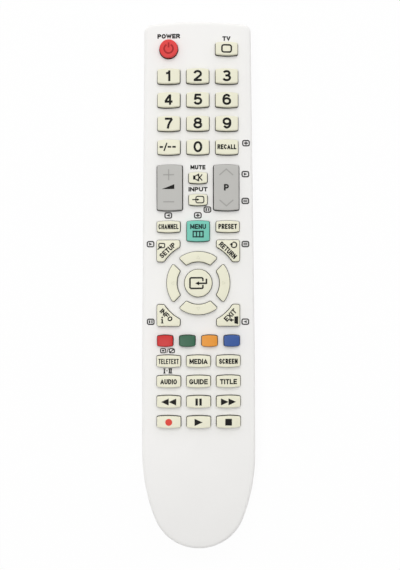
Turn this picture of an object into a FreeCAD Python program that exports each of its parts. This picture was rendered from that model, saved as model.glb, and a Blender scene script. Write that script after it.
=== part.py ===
"""TV remote control: two-part case, keys over a contact membrane, board and battery bay.

Frame: +Z up out of the keys, +Y towards the emitter end, +X to the right as it is held.
The origin is on the surface that the remote lies on, under the middle of its outline.
All sizes are in millimetres.
"""
import FreeCAD
import Part
import os
from math import acos, atan2, cos, degrees, hypot, pi, radians, sin, sqrt, tan

V = FreeCAD.Vector

# Case outline, seen from above
LENGTH = 212.8
WIDTH = 45.5
HEAD_WIDTH = 42.9
HEAD_BOW = 1.1
HEAD_CORNER = 3.2
TAIL_TO_TAPER = 76.9
TAPER_START_Y = TAIL_TO_TAPER - LENGTH / 2
TAIL_TIP_RADIUS = 19.0
TAIL_SHOULDER_RADIUS = 75.0

# Case heights and the crown of its top
CREST_Z = 22.0
PARTING_Z = 12.0
HEAD_FALL = 1.8
TAIL_TO_ROLL = 46.9
ROLL_START_Y = TAIL_TO_ROLL - LENGTH / 2
ROLL_RADIUS = 260.0
CROSS_RADIUS = 200.0
RIM_BEVEL = 1.5
WALL = 2.0

# Underside: rises to the head along one arc
HEAD_RISE_RUN = 67.5
HEAD_RISE_START_Y = LENGTH / 2 - HEAD_RISE_RUN
HEAD_RISE = 5.5
HEAD_RISE_BELLY = 0.3
HULL_RUN_ON = 12.0
HOLLOW_FLATS = 3
HULL_EDGE_INSET = PARTING_Z - 0.06

# Keys
KEY_PROUD = 2.5
KEY_TRAVEL = 1.0
KEY_CLEARANCE = 0.28
KEY_BOW = 0.35
KEY_CORNER = 0.5

# Key field: sizes across and along the remote, and centres, each row placed from the one above
UPPER_COLUMN_X = 11.6
LOWER_COLUMN_X = 11.9
POWER_DIAMETER = 7.3
TV_SIZE = (8.8, 5.3)
HEAD_TO_TOP_ROW = 11.4
TOP_ROW_Y = LENGTH / 2 - HEAD_TO_TOP_ROW
DIGIT_SIZE = (8.9, 6.0)
TOP_ROW_TO_DIGITS = 11.05
DIGIT_ROW_Y = TOP_ROW_Y - TOP_ROW_TO_DIGITS
DIGIT_PITCH = 9.48
ROCKER_SIZE = (10.0, 18.3)
ROCKER_X = 11.3
DIGITS_TO_ROCKERS = 16.21
ROCKER_Y = DIGIT_ROW_Y - 3 * DIGIT_PITCH - DIGITS_TO_ROCKERS
SMALL_SIZE = (7.3, 4.5)
MUTE_RISE = 3.9
MUTE_TO_SOURCE = 8.8
MUTE_Y = ROCKER_Y + MUTE_RISE
SOURCE_Y = MUTE_Y - MUTE_TO_SOURCE
LIST_SIZE = (9.2, 4.6)
LIST_X = 11.8
ROCKERS_TO_LIST = 15.6
LIST_Y = ROCKER_Y - ROCKERS_TO_LIST
MENU_SIZE = (9.0, 8.3)
LIST_TO_MENU = 1.8
MENU_Y = LIST_Y - LIST_TO_MENU
MENU_TO_RING = 20.75
RING_Y = MENU_Y - MENU_TO_RING
ENTER_RADIUS = 5.45
ARROW_INNER_RADIUS = 8.6
ARROW_OUTER_RADIUS = 12.55
ARROW_CHANNEL = 1.7
ARROW_CORNER = 0.35
CORNER_KEY_NEAR = (7.35, 8.6)
CORNER_KEY_FAR = (16.5, 17.15)
CORNER_KEY_ARC = 16.2
CORNER_KEY_ROUND = 0.6
COLOUR_SIZE = (6.2, 4.5)
COLOUR_PITCH = 8.88
RING_TO_COLOURS = 23.05
COLOUR_Y = RING_Y - RING_TO_COLOURS
LOWER_SIZE = (9.45, 4.75)
COLOURS_TO_LOWER = 8.1
LOWER_ROW_Y = COLOUR_Y - COLOURS_TO_LOWER
LOWER_PITCH = 8.06
LAST_ROW_Y = LOWER_ROW_Y - 3 * LOWER_PITCH

# Foot of each key: a flange under the case skin
FLANGE_REACH = 0.6
FLANGE_THICKNESS = 0.6
FOOT_GAP = 0.05

# Half sizes across and along of the flange plates under the round, ring and corner keys
RING_FOOT = (3.0, (ARROW_OUTER_RADIUS - ARROW_INNER_RADIUS) / 2 + FLANGE_REACH)
CORNER_FOOT = (4.0, 4.0)
CROSS_FEET = {
    "power_key": (POWER_DIAMETER / 2 + FLANGE_REACH, 1.5),
    "enter_key": (ENTER_RADIUS + FLANGE_REACH, 2.0),
    "up_key": RING_FOOT,
    "down_key": RING_FOOT,
    "left_key": RING_FOOT[::-1],
    "right_key": RING_FOOT[::-1],
    "tools_key": CORNER_FOOT,
    "return_key": CORNER_FOOT,
    "info_key": CORNER_FOOT,
    "exit_key": CORNER_FOOT,
}

# Board and the contact membrane on it
BOARD_TOP_Z = 14.6
BOARD_THICKNESS = 1.0
BOARD_INSET = 3.4
LAST_ROW_TO_BOARD_END = 11.2
BOARD_TAIL_Y = LAST_ROW_Y - LAST_ROW_TO_BOARD_END
MEMBRANE_THICKNESS = 0.4
MEMBRANE_INSET = 3.8
MEMBRANE_END_INSET = 1.0
MEMBRANE_TAIL_Y = BOARD_TAIL_Y + MEMBRANE_END_INSET

# Hooks of the upper case: a block down to the board, a stem through it and a foot under it
TOP_ROW_TO_HOOKS = 4.1
LAST_ROW_TO_HOOKS = 7.0
HEAD_HOOK_Y = TOP_ROW_Y - TOP_ROW_TO_HOOKS
TAIL_HOOK_Y = LAST_ROW_Y - LAST_ROW_TO_HOOKS
TAIL_HOOK_INSET = 7.4
HOOK_BLOCK = 4.4
HOOK_STEM = (1.4, 3.0)
HOOK_FOOT = (0.8, 1.2)
HOOK_GAP = 0.05
HOOK_CLEARANCE = 0.3

# Battery bay for two AAA cells, side by side
CELL_RADIUS = 5.25
CELL_LENGTH = 44.5
CELL_NUB_RADIUS = 1.9
CELL_NUB_LENGTH = 0.9
CELL_PITCH = 11.1
CELL_LIFT = 0.2
BAY_WALL = 1.2
BAY_SIDE_GAP = 0.3
BAY_ROOF = 0.7
BAY_ROOF_GAP = 0.1
TAIL_TO_BAY = 49.5
BAY_CENTRE_Y = TAIL_TO_BAY - LENGTH / 2
CONTACT_SPACE = 3.0
CONTACT_WIDTH = 8.0
CONTACT_THICKNESS = 0.35
CONTACT_FLAT = 2.0
CONTACT_HALF_WIDTH = 2.2
CONTACT_EDGE = 1.0

# Battery cover, which slides off past the tail on a rail along each side
COVER_HALF_WIDTH = 14.5
BAY_TO_COVER_FRONT = 1.25
COVER_FRONT_Y = BAY_CENTRE_Y + CELL_LENGTH / 2 + CONTACT_SPACE + BAY_TO_COVER_FRONT
COVER_TOP_Z = 3.2
COVER_GAP = 0.12
RAIL_REACH = 0.6
RAIL_Z = (1.5, 2.1)
RAIL_OVERHANG = 3.5
RAIL_LENGTH = CELL_LENGTH + RAIL_OVERHANG
RAIL_CLEARANCE = 0.15
GRIP_GROOVES = 5
GRIP_PITCH = 2.0
GRIP_WIDTH = 1.0
GRIP_DEPTH = 0.5
GRIP_LENGTH = 16.0
COVER_FRONT_TO_GRIP = 8.5
GRIP_Y = COVER_FRONT_Y - COVER_FRONT_TO_GRIP
BULKHEAD_BACK = 1.3
GUSSETS_FROM_BAY = (16.0, 0.0, -18.0)
GUSSET_PLACES_Y = [BAY_CENTRE_Y + run for run in GUSSETS_FROM_BAY]
GUSSET_THICKNESS = 1.2
GUSSET_TOP_Z = 10.5

# Tabs of the lower case that stand inside the wall of the upper one
HEAD_TO_TABS = (32.5, 102.5)
TAIL_TO_TAB = 62.5
TAB_PLACES_Y = [LENGTH / 2 - run for run in HEAD_TO_TABS] + [TAIL_TO_TAB - LENGTH / 2]
TAB_LENGTH = 7.0
TAB_THICKNESS = 1.0
TAB_GAP = 0.1
TAB_TOP_Z = 14.5
TAB_FOOT_Z = 8.0

# Emitter
LED_RADIUS = 2.5
LED_Z = 15.0
LED_RECESS = 0.4
LED_LENGTH = 8.4
LED_NOSE = 1.6
LED_HOLE_CLEARANCE = 0.1
LED_LEAD = 0.5
LED_LEAD_PITCH = 2.54
LED_LEAD_RUN = 3.0
BOARD_NOTCH_CLEARANCE = 0.4

# Parts under the board: centre x and y, then size across, along and down
HEAD_TO_CHIP = 83.5
CHIP_Y = LENGTH / 2 - HEAD_TO_CHIP
CHIP = (0.0, CHIP_Y, 9.0, 7.0, 1.6)
CHIP_LEGS = 7
CHIP_LEG = (0.5, 1.2, 0.3)
RESONATOR = (11.0, CHIP_Y, 6.0, 2.6, 2.8)
CAPACITOR = (-11.0, CHIP_Y, 2.5, 5.0)

FAR = 60.0
PARTS = {}


# Small helpers

def box(x0, x1, y0, y1, z0, z1):
    return Part.makeBox(x1 - x0, y1 - y0, z1 - z0, V(x0, y0, z0))


def prism(wire, z0, z1):
    face = Part.Face(wire)
    face.translate(V(0, 0, z0 - wire.BoundBox.ZMin))
    return face.extrude(V(0, 0, z1 - z0))


def arc_about(centre, radius, start, end, z=0.0):
    """The arc from angle start to angle end, in radians, as an edge."""
    middle = (start + end) / 2
    points = [V(centre[0] + radius * cos(a), centre[1] + radius * sin(a), z)
              for a in (start, middle, end)]
    return Part.Arc(*points).toShape()


def line(a, b, z=0.0):
    return Part.LineSegment(V(a[0], a[1], z), V(b[0], b[1], z)).toShape()


def bowed(a, b, rise, z=0.0):
    """An edge from a to b that bulges by rise to its left."""
    length = hypot(b[0] - a[0], b[1] - a[1])
    across = ((a[1] - b[1]) / length, (b[0] - a[0]) / length)
    middle = ((a[0] + b[0]) / 2 + across[0] * rise, (a[1] + b[1]) / 2 + across[1] * rise)
    return Part.Arc(V(a[0], a[1], z), V(middle[0], middle[1], z), V(b[0], b[1], z)).toShape()


def angle_to(centre, point):
    return atan2(point[1] - centre[1], point[0] - centre[0])


# Case outline and crown

def tail_arcs():
    """The shoulder and tip arcs of the right half: (centre, radius, start angle, end angle)."""
    half = WIDTH / 2
    tip_centre = (0.0, TAIL_TIP_RADIUS - LENGTH / 2)
    rise = sqrt((TAIL_SHOULDER_RADIUS - TAIL_TIP_RADIUS) ** 2 - (TAIL_SHOULDER_RADIUS - half) ** 2)
    shoulder_centre = (half - TAIL_SHOULDER_RADIUS, tip_centre[1] + rise)
    tip_angle = angle_to(shoulder_centre, tip_centre)
    return [(shoulder_centre, TAIL_SHOULDER_RADIUS, 0.0, tip_angle),
            (tip_centre, TAIL_TIP_RADIUS, tip_angle, -pi - tip_angle)]


def taper_angle():
    return atan2((WIDTH - HEAD_WIDTH) / 2, LENGTH / 2 - TAPER_START_Y)


def side_x(y):
    """Where the straight side is at y, on the right."""
    return WIDTH / 2 - max(0.0, y - TAPER_START_Y) * tan(taper_angle())


def edge_x(y):
    """How far out the side or the shoulder of the tail reaches at y, on the right."""
    (centre_x, centre_y), radius, _, _ = tail_arcs()[0]
    if y > centre_y:
        return side_x(y)
    return centre_x + sqrt(radius ** 2 - (y - centre_y) ** 2)


def case_outline():
    """The outline of the case seen from above, as a closed wire."""
    bow_radius = ((HEAD_WIDTH / 2) ** 2 + HEAD_BOW ** 2) / (2 * HEAD_BOW)
    bow_centre = (0.0, LENGTH / 2 - bow_radius)
    turn = taper_angle()
    reach = bow_radius - HEAD_CORNER
    low, high = LENGTH / 2 - 3 * HEAD_CORNER, LENGTH / 2
    while high - low > 1e-9:
        y = (low + high) / 2
        x = side_x(y) - HEAD_CORNER / cos(turn)
        low, high = (y, high) if hypot(x, y - bow_centre[1]) < reach else (low, y)
    corner_centre = (x, y)
    bow_angle = angle_to(bow_centre, corner_centre)
    side_end = (x + HEAD_CORNER * cos(turn), y + HEAD_CORNER * sin(turn))
    shoulder, tip = tail_arcs()
    bend, side_start = (WIDTH / 2, TAPER_START_Y), (WIDTH / 2, shoulder[0][1])
    right = [arc_about(corner_centre, HEAD_CORNER, bow_angle, turn),
             line(side_end, bend), line(bend, side_start), arc_about(*shoulder)]
    left = [line((-side_start[0], side_start[1]), (-bend[0], bend[1])),
            line((-bend[0], bend[1]), (-side_end[0], side_end[1])),
            arc_about((-x, y), HEAD_CORNER, pi - turn, pi - bow_angle)]
    return Part.Wire([arc_about(bow_centre, bow_radius, pi - bow_angle, bow_angle), *right,
                      arc_about(*tip), arc_about(*other_side(shoulder)), *left])


def other_side(arc):
    """An arc mirrored to the left half and run the other way."""
    centre, radius, start, end = arc
    return ((-centre[0], centre[1]), radius, pi - end, pi - start)


def inset_outline(inset):
    """The case outline drawn in evenly all round."""
    wire = case_outline()
    return wire if inset == 0 else wire.makeOffset2D(-inset)


def head_slope():
    """How far the crest falls towards the head, as an angle."""
    return atan2(HEAD_FALL, LENGTH / 2 - ROLL_START_Y)


def roll_centre():
    """The centre of the arc along which the crest rolls down to the tail."""
    slope = head_slope()
    return V(0, ROLL_START_Y - ROLL_RADIUS * sin(slope), CREST_Z - ROLL_RADIUS * cos(slope))


def crown_body():
    """Everything under the top surface: straight towards the head, rolled down to the tail."""
    slope = head_slope()
    half = WIDTH
    fall = CROSS_RADIUS - sqrt(CROSS_RADIUS ** 2 - half * half)
    left, right = V(-half, 0, -fall), V(half, 0, -fall)
    low_left, low_right = V(-half, 0, -FAR), V(half, 0, -FAR)
    section = Part.Face(Part.Wire([
        Part.Arc(left, V(0, 0, 0), right).toShape(),
        Part.LineSegment(right, low_right).toShape(),
        Part.LineSegment(low_right, low_left).toShape(),
        Part.LineSegment(low_left, left).toShape(),
    ]))
    section.rotate(V(0, 0, 0), V(1, 0, 0), -degrees(slope))
    section.translate(V(0, ROLL_START_Y, CREST_Z))
    ahead = section.extrude(V(0, cos(slope), -sin(slope)) * LENGTH)
    behind = section.revolve(roll_centre(), V(1, 0, 0), degrees(FAR / ROLL_RADIUS))
    return ahead.fuse(behind)


def top_height(x, y, rise=0.0):
    """Height of the top surface, raised by rise, over a point of the plan."""
    cross = CROSS_RADIUS + rise
    drop = cross - sqrt(cross * cross - x * x)
    slope = head_slope()
    if y > ROLL_START_Y:
        return CREST_Z + (rise - drop) / cos(slope) - (y - ROLL_START_Y) * tan(slope)
    centre = roll_centre()
    return centre.z + sqrt((ROLL_RADIUS + rise - drop) ** 2 - (y - centre.y) ** 2)


def top_normal(x, y):
    step = 0.5
    slope_x = (top_height(x + step, y) - top_height(x - step, y)) / (2 * step)
    slope_y = (top_height(x, y + step) - top_height(x, y - step)) / (2 * step)
    return V(-slope_x, -slope_y, 1).normalize()


# Lower hull

def rim_section(radius, thickness):
    """The edge of the hull from its rim in to where the bottom is flat.

    Outside it is a quarter round. The hollow inside has flats within that round.
    """
    centre_r = radius - HULL_EDGE_INSET
    small = PARTING_Z - thickness
    if thickness:
        turns = [pi / 2 * k / HOLLOW_FLATS for k in range(HOLLOW_FLATS + 1)]
        points = [V(centre_r + small * cos(t), 0, PARTING_Z - small * sin(t)) for t in turns]
        edges = [Part.LineSegment(a, b).toShape() for a, b in zip(points, points[1:])]
    else:
        mid = small * cos(pi / 4)
        points = [V(centre_r + small, 0, PARTING_Z), V(centre_r, 0, thickness)]
        edges = [Part.Arc(points[0], V(centre_r + mid, 0, PARTING_Z - mid), points[-1]).toShape()]
    corner = V(centre_r, 0, PARTING_Z)
    edges += [Part.LineSegment(points[-1], corner).toShape(),
              Part.LineSegment(corner, points[0]).toShape()]
    return Part.Face(Part.Wire(edges))


def turned_edge(arc, thickness):
    """The hull edge swung round an arc of the outline."""
    centre, radius, start, end = arc
    section = rim_section(radius, thickness)
    section.rotate(V(0, 0, 0), V(0, 0, 1), degrees(start))
    section.translate(V(centre[0], centre[1], 0))
    return section.revolve(V(centre[0], centre[1], 0), V(0, 0, 1), degrees(end - start))


def hull(thickness):
    """The body under the parting plane, with walls and bottom drawn in by thickness.

    Its edge runs round the tail and straight past the head, where the outline and the rise of
    the underside cut it off.
    """
    shoulder, tip = tail_arcs()
    shoulder_y = shoulder[0][1]
    past_head = LENGTH / 2 + HULL_RUN_ON
    section = rim_section(WIDTH / 2, thickness)
    section.translate(V(0, shoulder_y, 0))
    side = section.extrude(V(0, past_head - shoulder_y, 0))
    turned = [turned_edge(arc, thickness) for arc in (shoulder, tip, other_side(shoulder))]
    drawn = [(c, r - HULL_EDGE_INSET, start, end) for c, r, start, end in (shoulder, tip)]
    inner = WIDTH / 2 - HULL_EDGE_INSET
    corners = [(-inner, shoulder_y), (-inner, past_head), (inner, past_head), (inner, shoulder_y)]
    core = Part.Wire([line(a, b) for a, b in zip(corners, corners[1:])]
                     + [arc_about(*arc) for arc in drawn + [other_side(drawn[0])]])
    body = prism(core, thickness, PARTING_Z)
    body = body.fuse(turned + [side, side.mirror(V(0, 0, 0), V(1, 0, 0))]).removeSplitter()
    return body.cut(under_head(thickness)).common(prism(inset_outline(thickness), -1.0, PARTING_Z))


def under_head(lift):
    """What lies below the rise of the underside towards the head, lifted by lift."""
    start, end = HEAD_RISE_START_Y, LENGTH / 2
    sag = HEAD_RISE * HEAD_RISE_BELLY
    here, middle = V(-WIDTH, start, lift), V(-WIDTH, (start + end) / 2, lift + sag)
    there, beyond = V(-WIDTH, end, lift + HEAD_RISE), V(-WIDTH, LENGTH, lift + HEAD_RISE)
    low_far, low_near = V(-WIDTH, LENGTH, -FAR), V(-WIDTH, start, -FAR)
    corners = [there, beyond, low_far, low_near, here]
    edges = [Part.Arc(here, middle, there).toShape()]
    edges += [Part.LineSegment(a, b).toShape() for a, b in zip(corners, corners[1:])]
    return Part.Face(Part.Wire(edges)).extrude(V(2 * WIDTH, 0, 0))


# Key outlines, each grown by a clearance where it cuts a hole

def barrel(x, y, size, grow=0.0, bow=KEY_BOW):
    """A rectangle whose top and bottom edges bulge. size includes the bulges."""
    half_w, half_h = size[0] / 2 + grow, size[1] / 2 + grow
    low, high = y - half_h + bow, y + half_h - bow
    left, right = x - half_w, x + half_w
    return Part.Wire([
        bowed((right, low), (left, low), bow),
        line((left, low), (left, high)),
        bowed((left, high), (right, high), bow),
        line((right, high), (right, low)),
    ])


def disc(x, y, radius):
    return Part.Wire(Part.Circle(V(x, y, 0), V(0, 0, 1), radius).toShape())


def arrow_outline(turn, grow=0.0):
    """A ring quarter whose ends run alongside the diagonals. turn is in degrees."""
    inner, outer = ARROW_INNER_RADIUS - grow, ARROW_OUTER_RADIUS + grow
    channel = ARROW_CHANNEL - grow
    inner_angle = pi / 4 + acos(sqrt(1 - (channel / inner) ** 2))
    outer_angle = pi / 4 + acos(sqrt(1 - (channel / outer) ** 2))
    at = lambda r, a: (r * cos(a), r * sin(a))
    wire = Part.Wire([
        arc_about((0, 0), outer, outer_angle, pi - outer_angle),
        line(at(outer, pi - outer_angle), at(inner, pi - inner_angle)),
        arc_about((0, 0), inner, pi - inner_angle, inner_angle),
        line(at(inner, inner_angle), at(outer, outer_angle)),
    ])
    wire.rotate(V(0, 0, 0), V(0, 0, 1), turn)
    wire.translate(V(0, RING_Y, 0))
    return wire


def corner_outline(sign_x, sign_y, grow=0.0):
    """A key that fills a corner beside the ring, hollowed along a circle about its centre."""
    near_x, near_y = CORNER_KEY_NEAR[0] - grow, CORNER_KEY_NEAR[1] - grow
    far_x, far_y = CORNER_KEY_FAR[0] + grow, CORNER_KEY_FAR[1] + grow
    radius = CORNER_KEY_ARC - grow
    start = (near_x, sqrt(radius ** 2 - near_x ** 2))
    end = (sqrt(radius ** 2 - near_y ** 2), near_y)
    hollow = arc_about((0, 0), radius, angle_to((0, 0), start), angle_to((0, 0), end))
    wire = Part.Wire([
        line((near_x, far_y), start),
        hollow,
        line(end, (far_x, near_y)),
        line((far_x, near_y), (far_x, far_y)),
        line((far_x, far_y), (near_x, far_y)),
    ])
    turn = {(1, 1): 0, (-1, -1): 180}.get((sign_x, sign_y))
    if turn is None:
        wire = wire.mirror(V(0, 0, 0), V(1, 0, 0))
        turn = 0 if sign_y > 0 else 180
    wire.rotate(V(0, 0, 0), V(0, 0, 1), turn)
    wire.translate(V(0, RING_Y, 0))
    return wire


def key_table():
    """Each key as name: (centre x, centre y, outline function of a growth, corner radius)."""
    keys = {}

    def add_barrel(name, x, y, size):
        keys[name] = (x, y, lambda grow: barrel(x, y, size, grow), KEY_CORNER)

    keys["power_key"] = (-UPPER_COLUMN_X, TOP_ROW_Y,
                         lambda grow: disc(-UPPER_COLUMN_X, TOP_ROW_Y, POWER_DIAMETER / 2 + grow), 0)
    add_barrel("tv_key", UPPER_COLUMN_X, TOP_ROW_Y, TV_SIZE)
    digits = ("digit_1_key", "digit_2_key", "digit_3_key", "digit_4_key", "digit_5_key",
              "digit_6_key", "digit_7_key", "digit_8_key", "digit_9_key",
              "two_digit_key", "digit_0_key", "previous_channel_key")
    for i, name in enumerate(digits):
        add_barrel(name, (i % 3 - 1) * UPPER_COLUMN_X, DIGIT_ROW_Y - i // 3 * DIGIT_PITCH, DIGIT_SIZE)
    add_barrel("volume_rocker", -ROCKER_X, ROCKER_Y, ROCKER_SIZE)
    add_barrel("channel_rocker", ROCKER_X, ROCKER_Y, ROCKER_SIZE)
    add_barrel("mute_key", 0.0, MUTE_Y, SMALL_SIZE)
    add_barrel("source_key", 0.0, SOURCE_Y, SMALL_SIZE)
    add_barrel("channel_list_key", -LIST_X, LIST_Y, LIST_SIZE)
    add_barrel("favourites_key", LIST_X, LIST_Y, LIST_SIZE)
    add_barrel("menu_key", 0.0, MENU_Y, MENU_SIZE)
    keys["enter_key"] = (0.0, RING_Y, lambda grow: disc(0.0, RING_Y, ENTER_RADIUS + grow), 0)
    ring = (ARROW_INNER_RADIUS + ARROW_OUTER_RADIUS) / 2
    for name, turn in (("up_key", 0), ("left_key", 90), ("down_key", 180), ("right_key", 270)):
        x, y = -ring * sin(radians(turn)), RING_Y + ring * cos(radians(turn))
        keys[name] = (x, y, lambda grow, turn=turn: arrow_outline(turn, grow), ARROW_CORNER)
    middle = [far + FLANGE_REACH - half for far, half in zip(CORNER_KEY_FAR, CORNER_FOOT)]
    for name, sx, sy in (("tools_key", -1, 1), ("return_key", 1, 1),
                         ("info_key", -1, -1), ("exit_key", 1, -1)):
        keys[name] = (sx * middle[0], RING_Y + sy * middle[1],
                      lambda grow, sx=sx, sy=sy: corner_outline(sx, sy, grow), CORNER_KEY_ROUND)
    for i, name in enumerate(("red_key", "green_key", "yellow_key", "blue_key")):
        add_barrel(name, (i - 1.5) * COLOUR_PITCH, COLOUR_Y, COLOUR_SIZE)
    lower = ("teletext_key", "media_key", "picture_size_key", "dual_key", "guide_key",
             "subtitle_key", "rewind_key", "pause_key", "forward_key",
             "record_key", "play_key", "stop_key")
    for i, name in enumerate(lower):
        add_barrel(name, (i % 3 - 1) * LOWER_COLUMN_X, LOWER_ROW_Y - i // 3 * LOWER_PITCH, LOWER_SIZE)
    return keys


def key_prism(outline, corner, grow, z0, z1):
    """An upright prism on a key outline, with its corners cut off."""
    solid = prism(outline(grow), z0, z1)
    if not corner:
        return solid
    uprights = [e for e in solid.Edges
                if isinstance(e.Curve, Part.Line) and abs(e.tangentAt(e.FirstParameter).z) > 0.99]
    return solid.makeChamfer(corner, uprights)


def flange_z():
    """The underside of a key at rest."""
    return BOARD_TOP_Z + MEMBRANE_THICKNESS + FOOT_GAP + KEY_TRAVEL


def over_key(x, y):
    """A block whose underside is the top of the key at x, y."""
    turn = FreeCAD.Rotation(V(0, 0, 1), top_normal(x, y))
    place = FreeCAD.Placement(V(x, y, top_height(x, y, KEY_PROUD)), turn)
    block = Part.makeBox(FAR, FAR, FAR, V(-FAR / 2, -FAR / 2, 0))
    block.Placement = place
    return block


def flange_box(name, x, y, outline, grow, z0, z1):
    """The flange under a key: a plate that reaches out beyond its sides, grown by grow."""
    reach = FLANGE_REACH + grow
    if name in CROSS_FEET:
        half_x, half_y = CROSS_FEET[name]
        return box(x - half_x - grow, x + half_x + grow, y - half_y - grow, y + half_y + grow, z0, z1)
    span = outline(reach).BoundBox
    return box(span.XMin, span.XMax, span.YMin, span.YMax, z0, z1)


def make_key(name, x, y, outline, corner):
    """A key on its retaining flange."""
    body_z = flange_z() + FLANGE_THICKNESS
    key = key_prism(outline, corner, 0.0, body_z, CREST_Z + 2 * KEY_PROUD).cut(over_key(x, y))
    return key.fuse(flange_box(name, x, y, outline, 0.0, flange_z(), body_z)).removeSplitter()


# Parts of the remote

def hook_places():
    """One hook behind the emitter and one in each side of the case behind the last row of keys."""
    x = edge_x(TAIL_HOOK_Y) - TAIL_HOOK_INSET
    return [(0.0, HEAD_HOOK_Y), (-x, TAIL_HOOK_Y), (x, TAIL_HOOK_Y)]


def hook(x, y):
    """A hook for the board at x, y. Its foot points away from the middle of the case."""
    side = -1 if x < 0 else 1
    half_x, half_y = HOOK_STEM[0] / 2, HOOK_STEM[1] / 2
    reach, height = HOOK_FOOT
    foot_top = BOARD_TOP_Z - BOARD_THICKNESS - HOOK_GAP
    half = HOOK_BLOCK / 2
    block = box(x - half, x + half, y - half, y + half, BOARD_TOP_Z, CREST_Z)
    stem = box(x - half_x, x + half_x, y - half_y, y + half_y, foot_top - height, BOARD_TOP_Z + height)
    ends = sorted((x, x + side * (half_x + reach)))
    foot = box(*ends, y - half_y, y + half_y, foot_top - height, foot_top)
    return block.common(room_under_skin()).fuse([stem, foot])


def hook_slot(x, y):
    """The slot in the board for a hook, long enough for its foot to spring through."""
    side = -1 if x < 0 else 1
    half_x, half_y = (half / 2 + HOOK_CLEARANCE for half in HOOK_STEM)
    ends = sorted((x - side * (half_x + HOOK_FOOT[0]), x + side * half_x))
    return box(*ends, y - half_y, y + half_y, 0, FAR)


def bay_box(grow=0.0, roof=0.0):
    """The room for the cells, grown sideways by grow and upwards by roof."""
    half_x = CELL_PITCH / 2 + CELL_RADIUS + BAY_SIDE_GAP + grow
    half_y = CELL_LENGTH / 2 + CONTACT_SPACE + grow
    top = WALL + CELL_LIFT + 2 * CELL_RADIUS + BAY_ROOF_GAP + roof
    return box(-half_x, half_x, BAY_CENTRE_Y - half_y, BAY_CENTRE_Y + half_y, 0.0, top)


def led_hole(radius):
    start = led_back_y() - BOARD_NOTCH_CLEARANCE
    return Part.makeCylinder(radius, FAR, V(0, start, LED_Z), V(0, 1, 0))


def is_upright(edge):
    return abs(edge.tangentAt(edge.FirstParameter).z) > 0.95


def bevelled_rim(outer):
    """Bevels the top rim of the case."""
    rim = [e for e in outer.Edges if e.BoundBox.ZMin > PARTING_Z + 1 and not is_upright(e)
           and outward(e)]
    return outer.makeChamfer(RIM_BEVEL, rim)


def outward(edge):
    """Whether an edge lies on the case outline, not across the crown."""
    ends = [v.Point for v in edge.Vertexes]
    return min(abs(p.x) + abs(p.y) for p in ends) > 1 and not all(
        abs(p.y - ROLL_START_Y) < 0.01 for p in ends)


def room_under_skin():
    """The hollow of the upper case: flat ceilings that slope to the head and to the tail."""
    rim_drop = CREST_Z - top_height(WIDTH / 2 - WALL, ROLL_START_Y)
    middle = CREST_Z - rim_drop - WALL
    head = top_height(WIDTH / 2 - WALL, LENGTH / 2) - WALL
    tail = top_height(0.0, -LENGTH / 2) - rim_drop / 2 - WALL
    low = PARTING_Z - 1.0
    profile = [(LENGTH / 2, low), (LENGTH / 2, head), (ROLL_START_Y, middle),
               (-LENGTH / 2, tail), (-LENGTH / 2, low), (LENGTH / 2, low)]
    side = Part.Face(Part.makePolygon([V(-WIDTH, y, z) for y, z in profile]))
    return side.extrude(V(2 * WIDTH, 0, 0)).common(prism(inset_outline(WALL), low, FAR))


def make_top_case(keys):
    """The upper case: crowned skin with a hole for each key, bevelled rim, wall and board hooks."""
    outer = crown_body().common(prism(inset_outline(0.0), PARTING_Z, FAR)).Solids[0]
    hooks = [hook(x, y) for x, y in hook_places()]
    case = bevelled_rim(outer).cut(room_under_skin()).fuse(hooks)
    holes = [key_prism(outline, corner, KEY_CLEARANCE, BOARD_TOP_Z, FAR)
             for _, _, outline, corner in keys.values()]
    return case.cut(holes + [led_hole(LED_RADIUS + LED_HOLE_CLEARANCE)]).removeSplitter()


def cover_block(gap=0.0):
    half = COVER_HALF_WIDTH + gap
    return box(-half, half, -LENGTH, COVER_FRONT_Y + gap, -1.0, COVER_TOP_Z + gap)


def rails(gap=0.0):
    """The rails along the cover, which run out at the tail where gap is given."""
    front = COVER_FRONT_Y - 1.0 + gap
    back = -LENGTH if gap else front - RAIL_LENGTH
    edge = COVER_HALF_WIDTH + RAIL_REACH + gap
    inner = COVER_HALF_WIDTH - 1.0
    z0, z1 = RAIL_Z[0] - gap, RAIL_Z[1] + gap
    return [box(inner, edge, back, front, z0, z1), box(-edge, -inner, back, front, z0, z1)]


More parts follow.
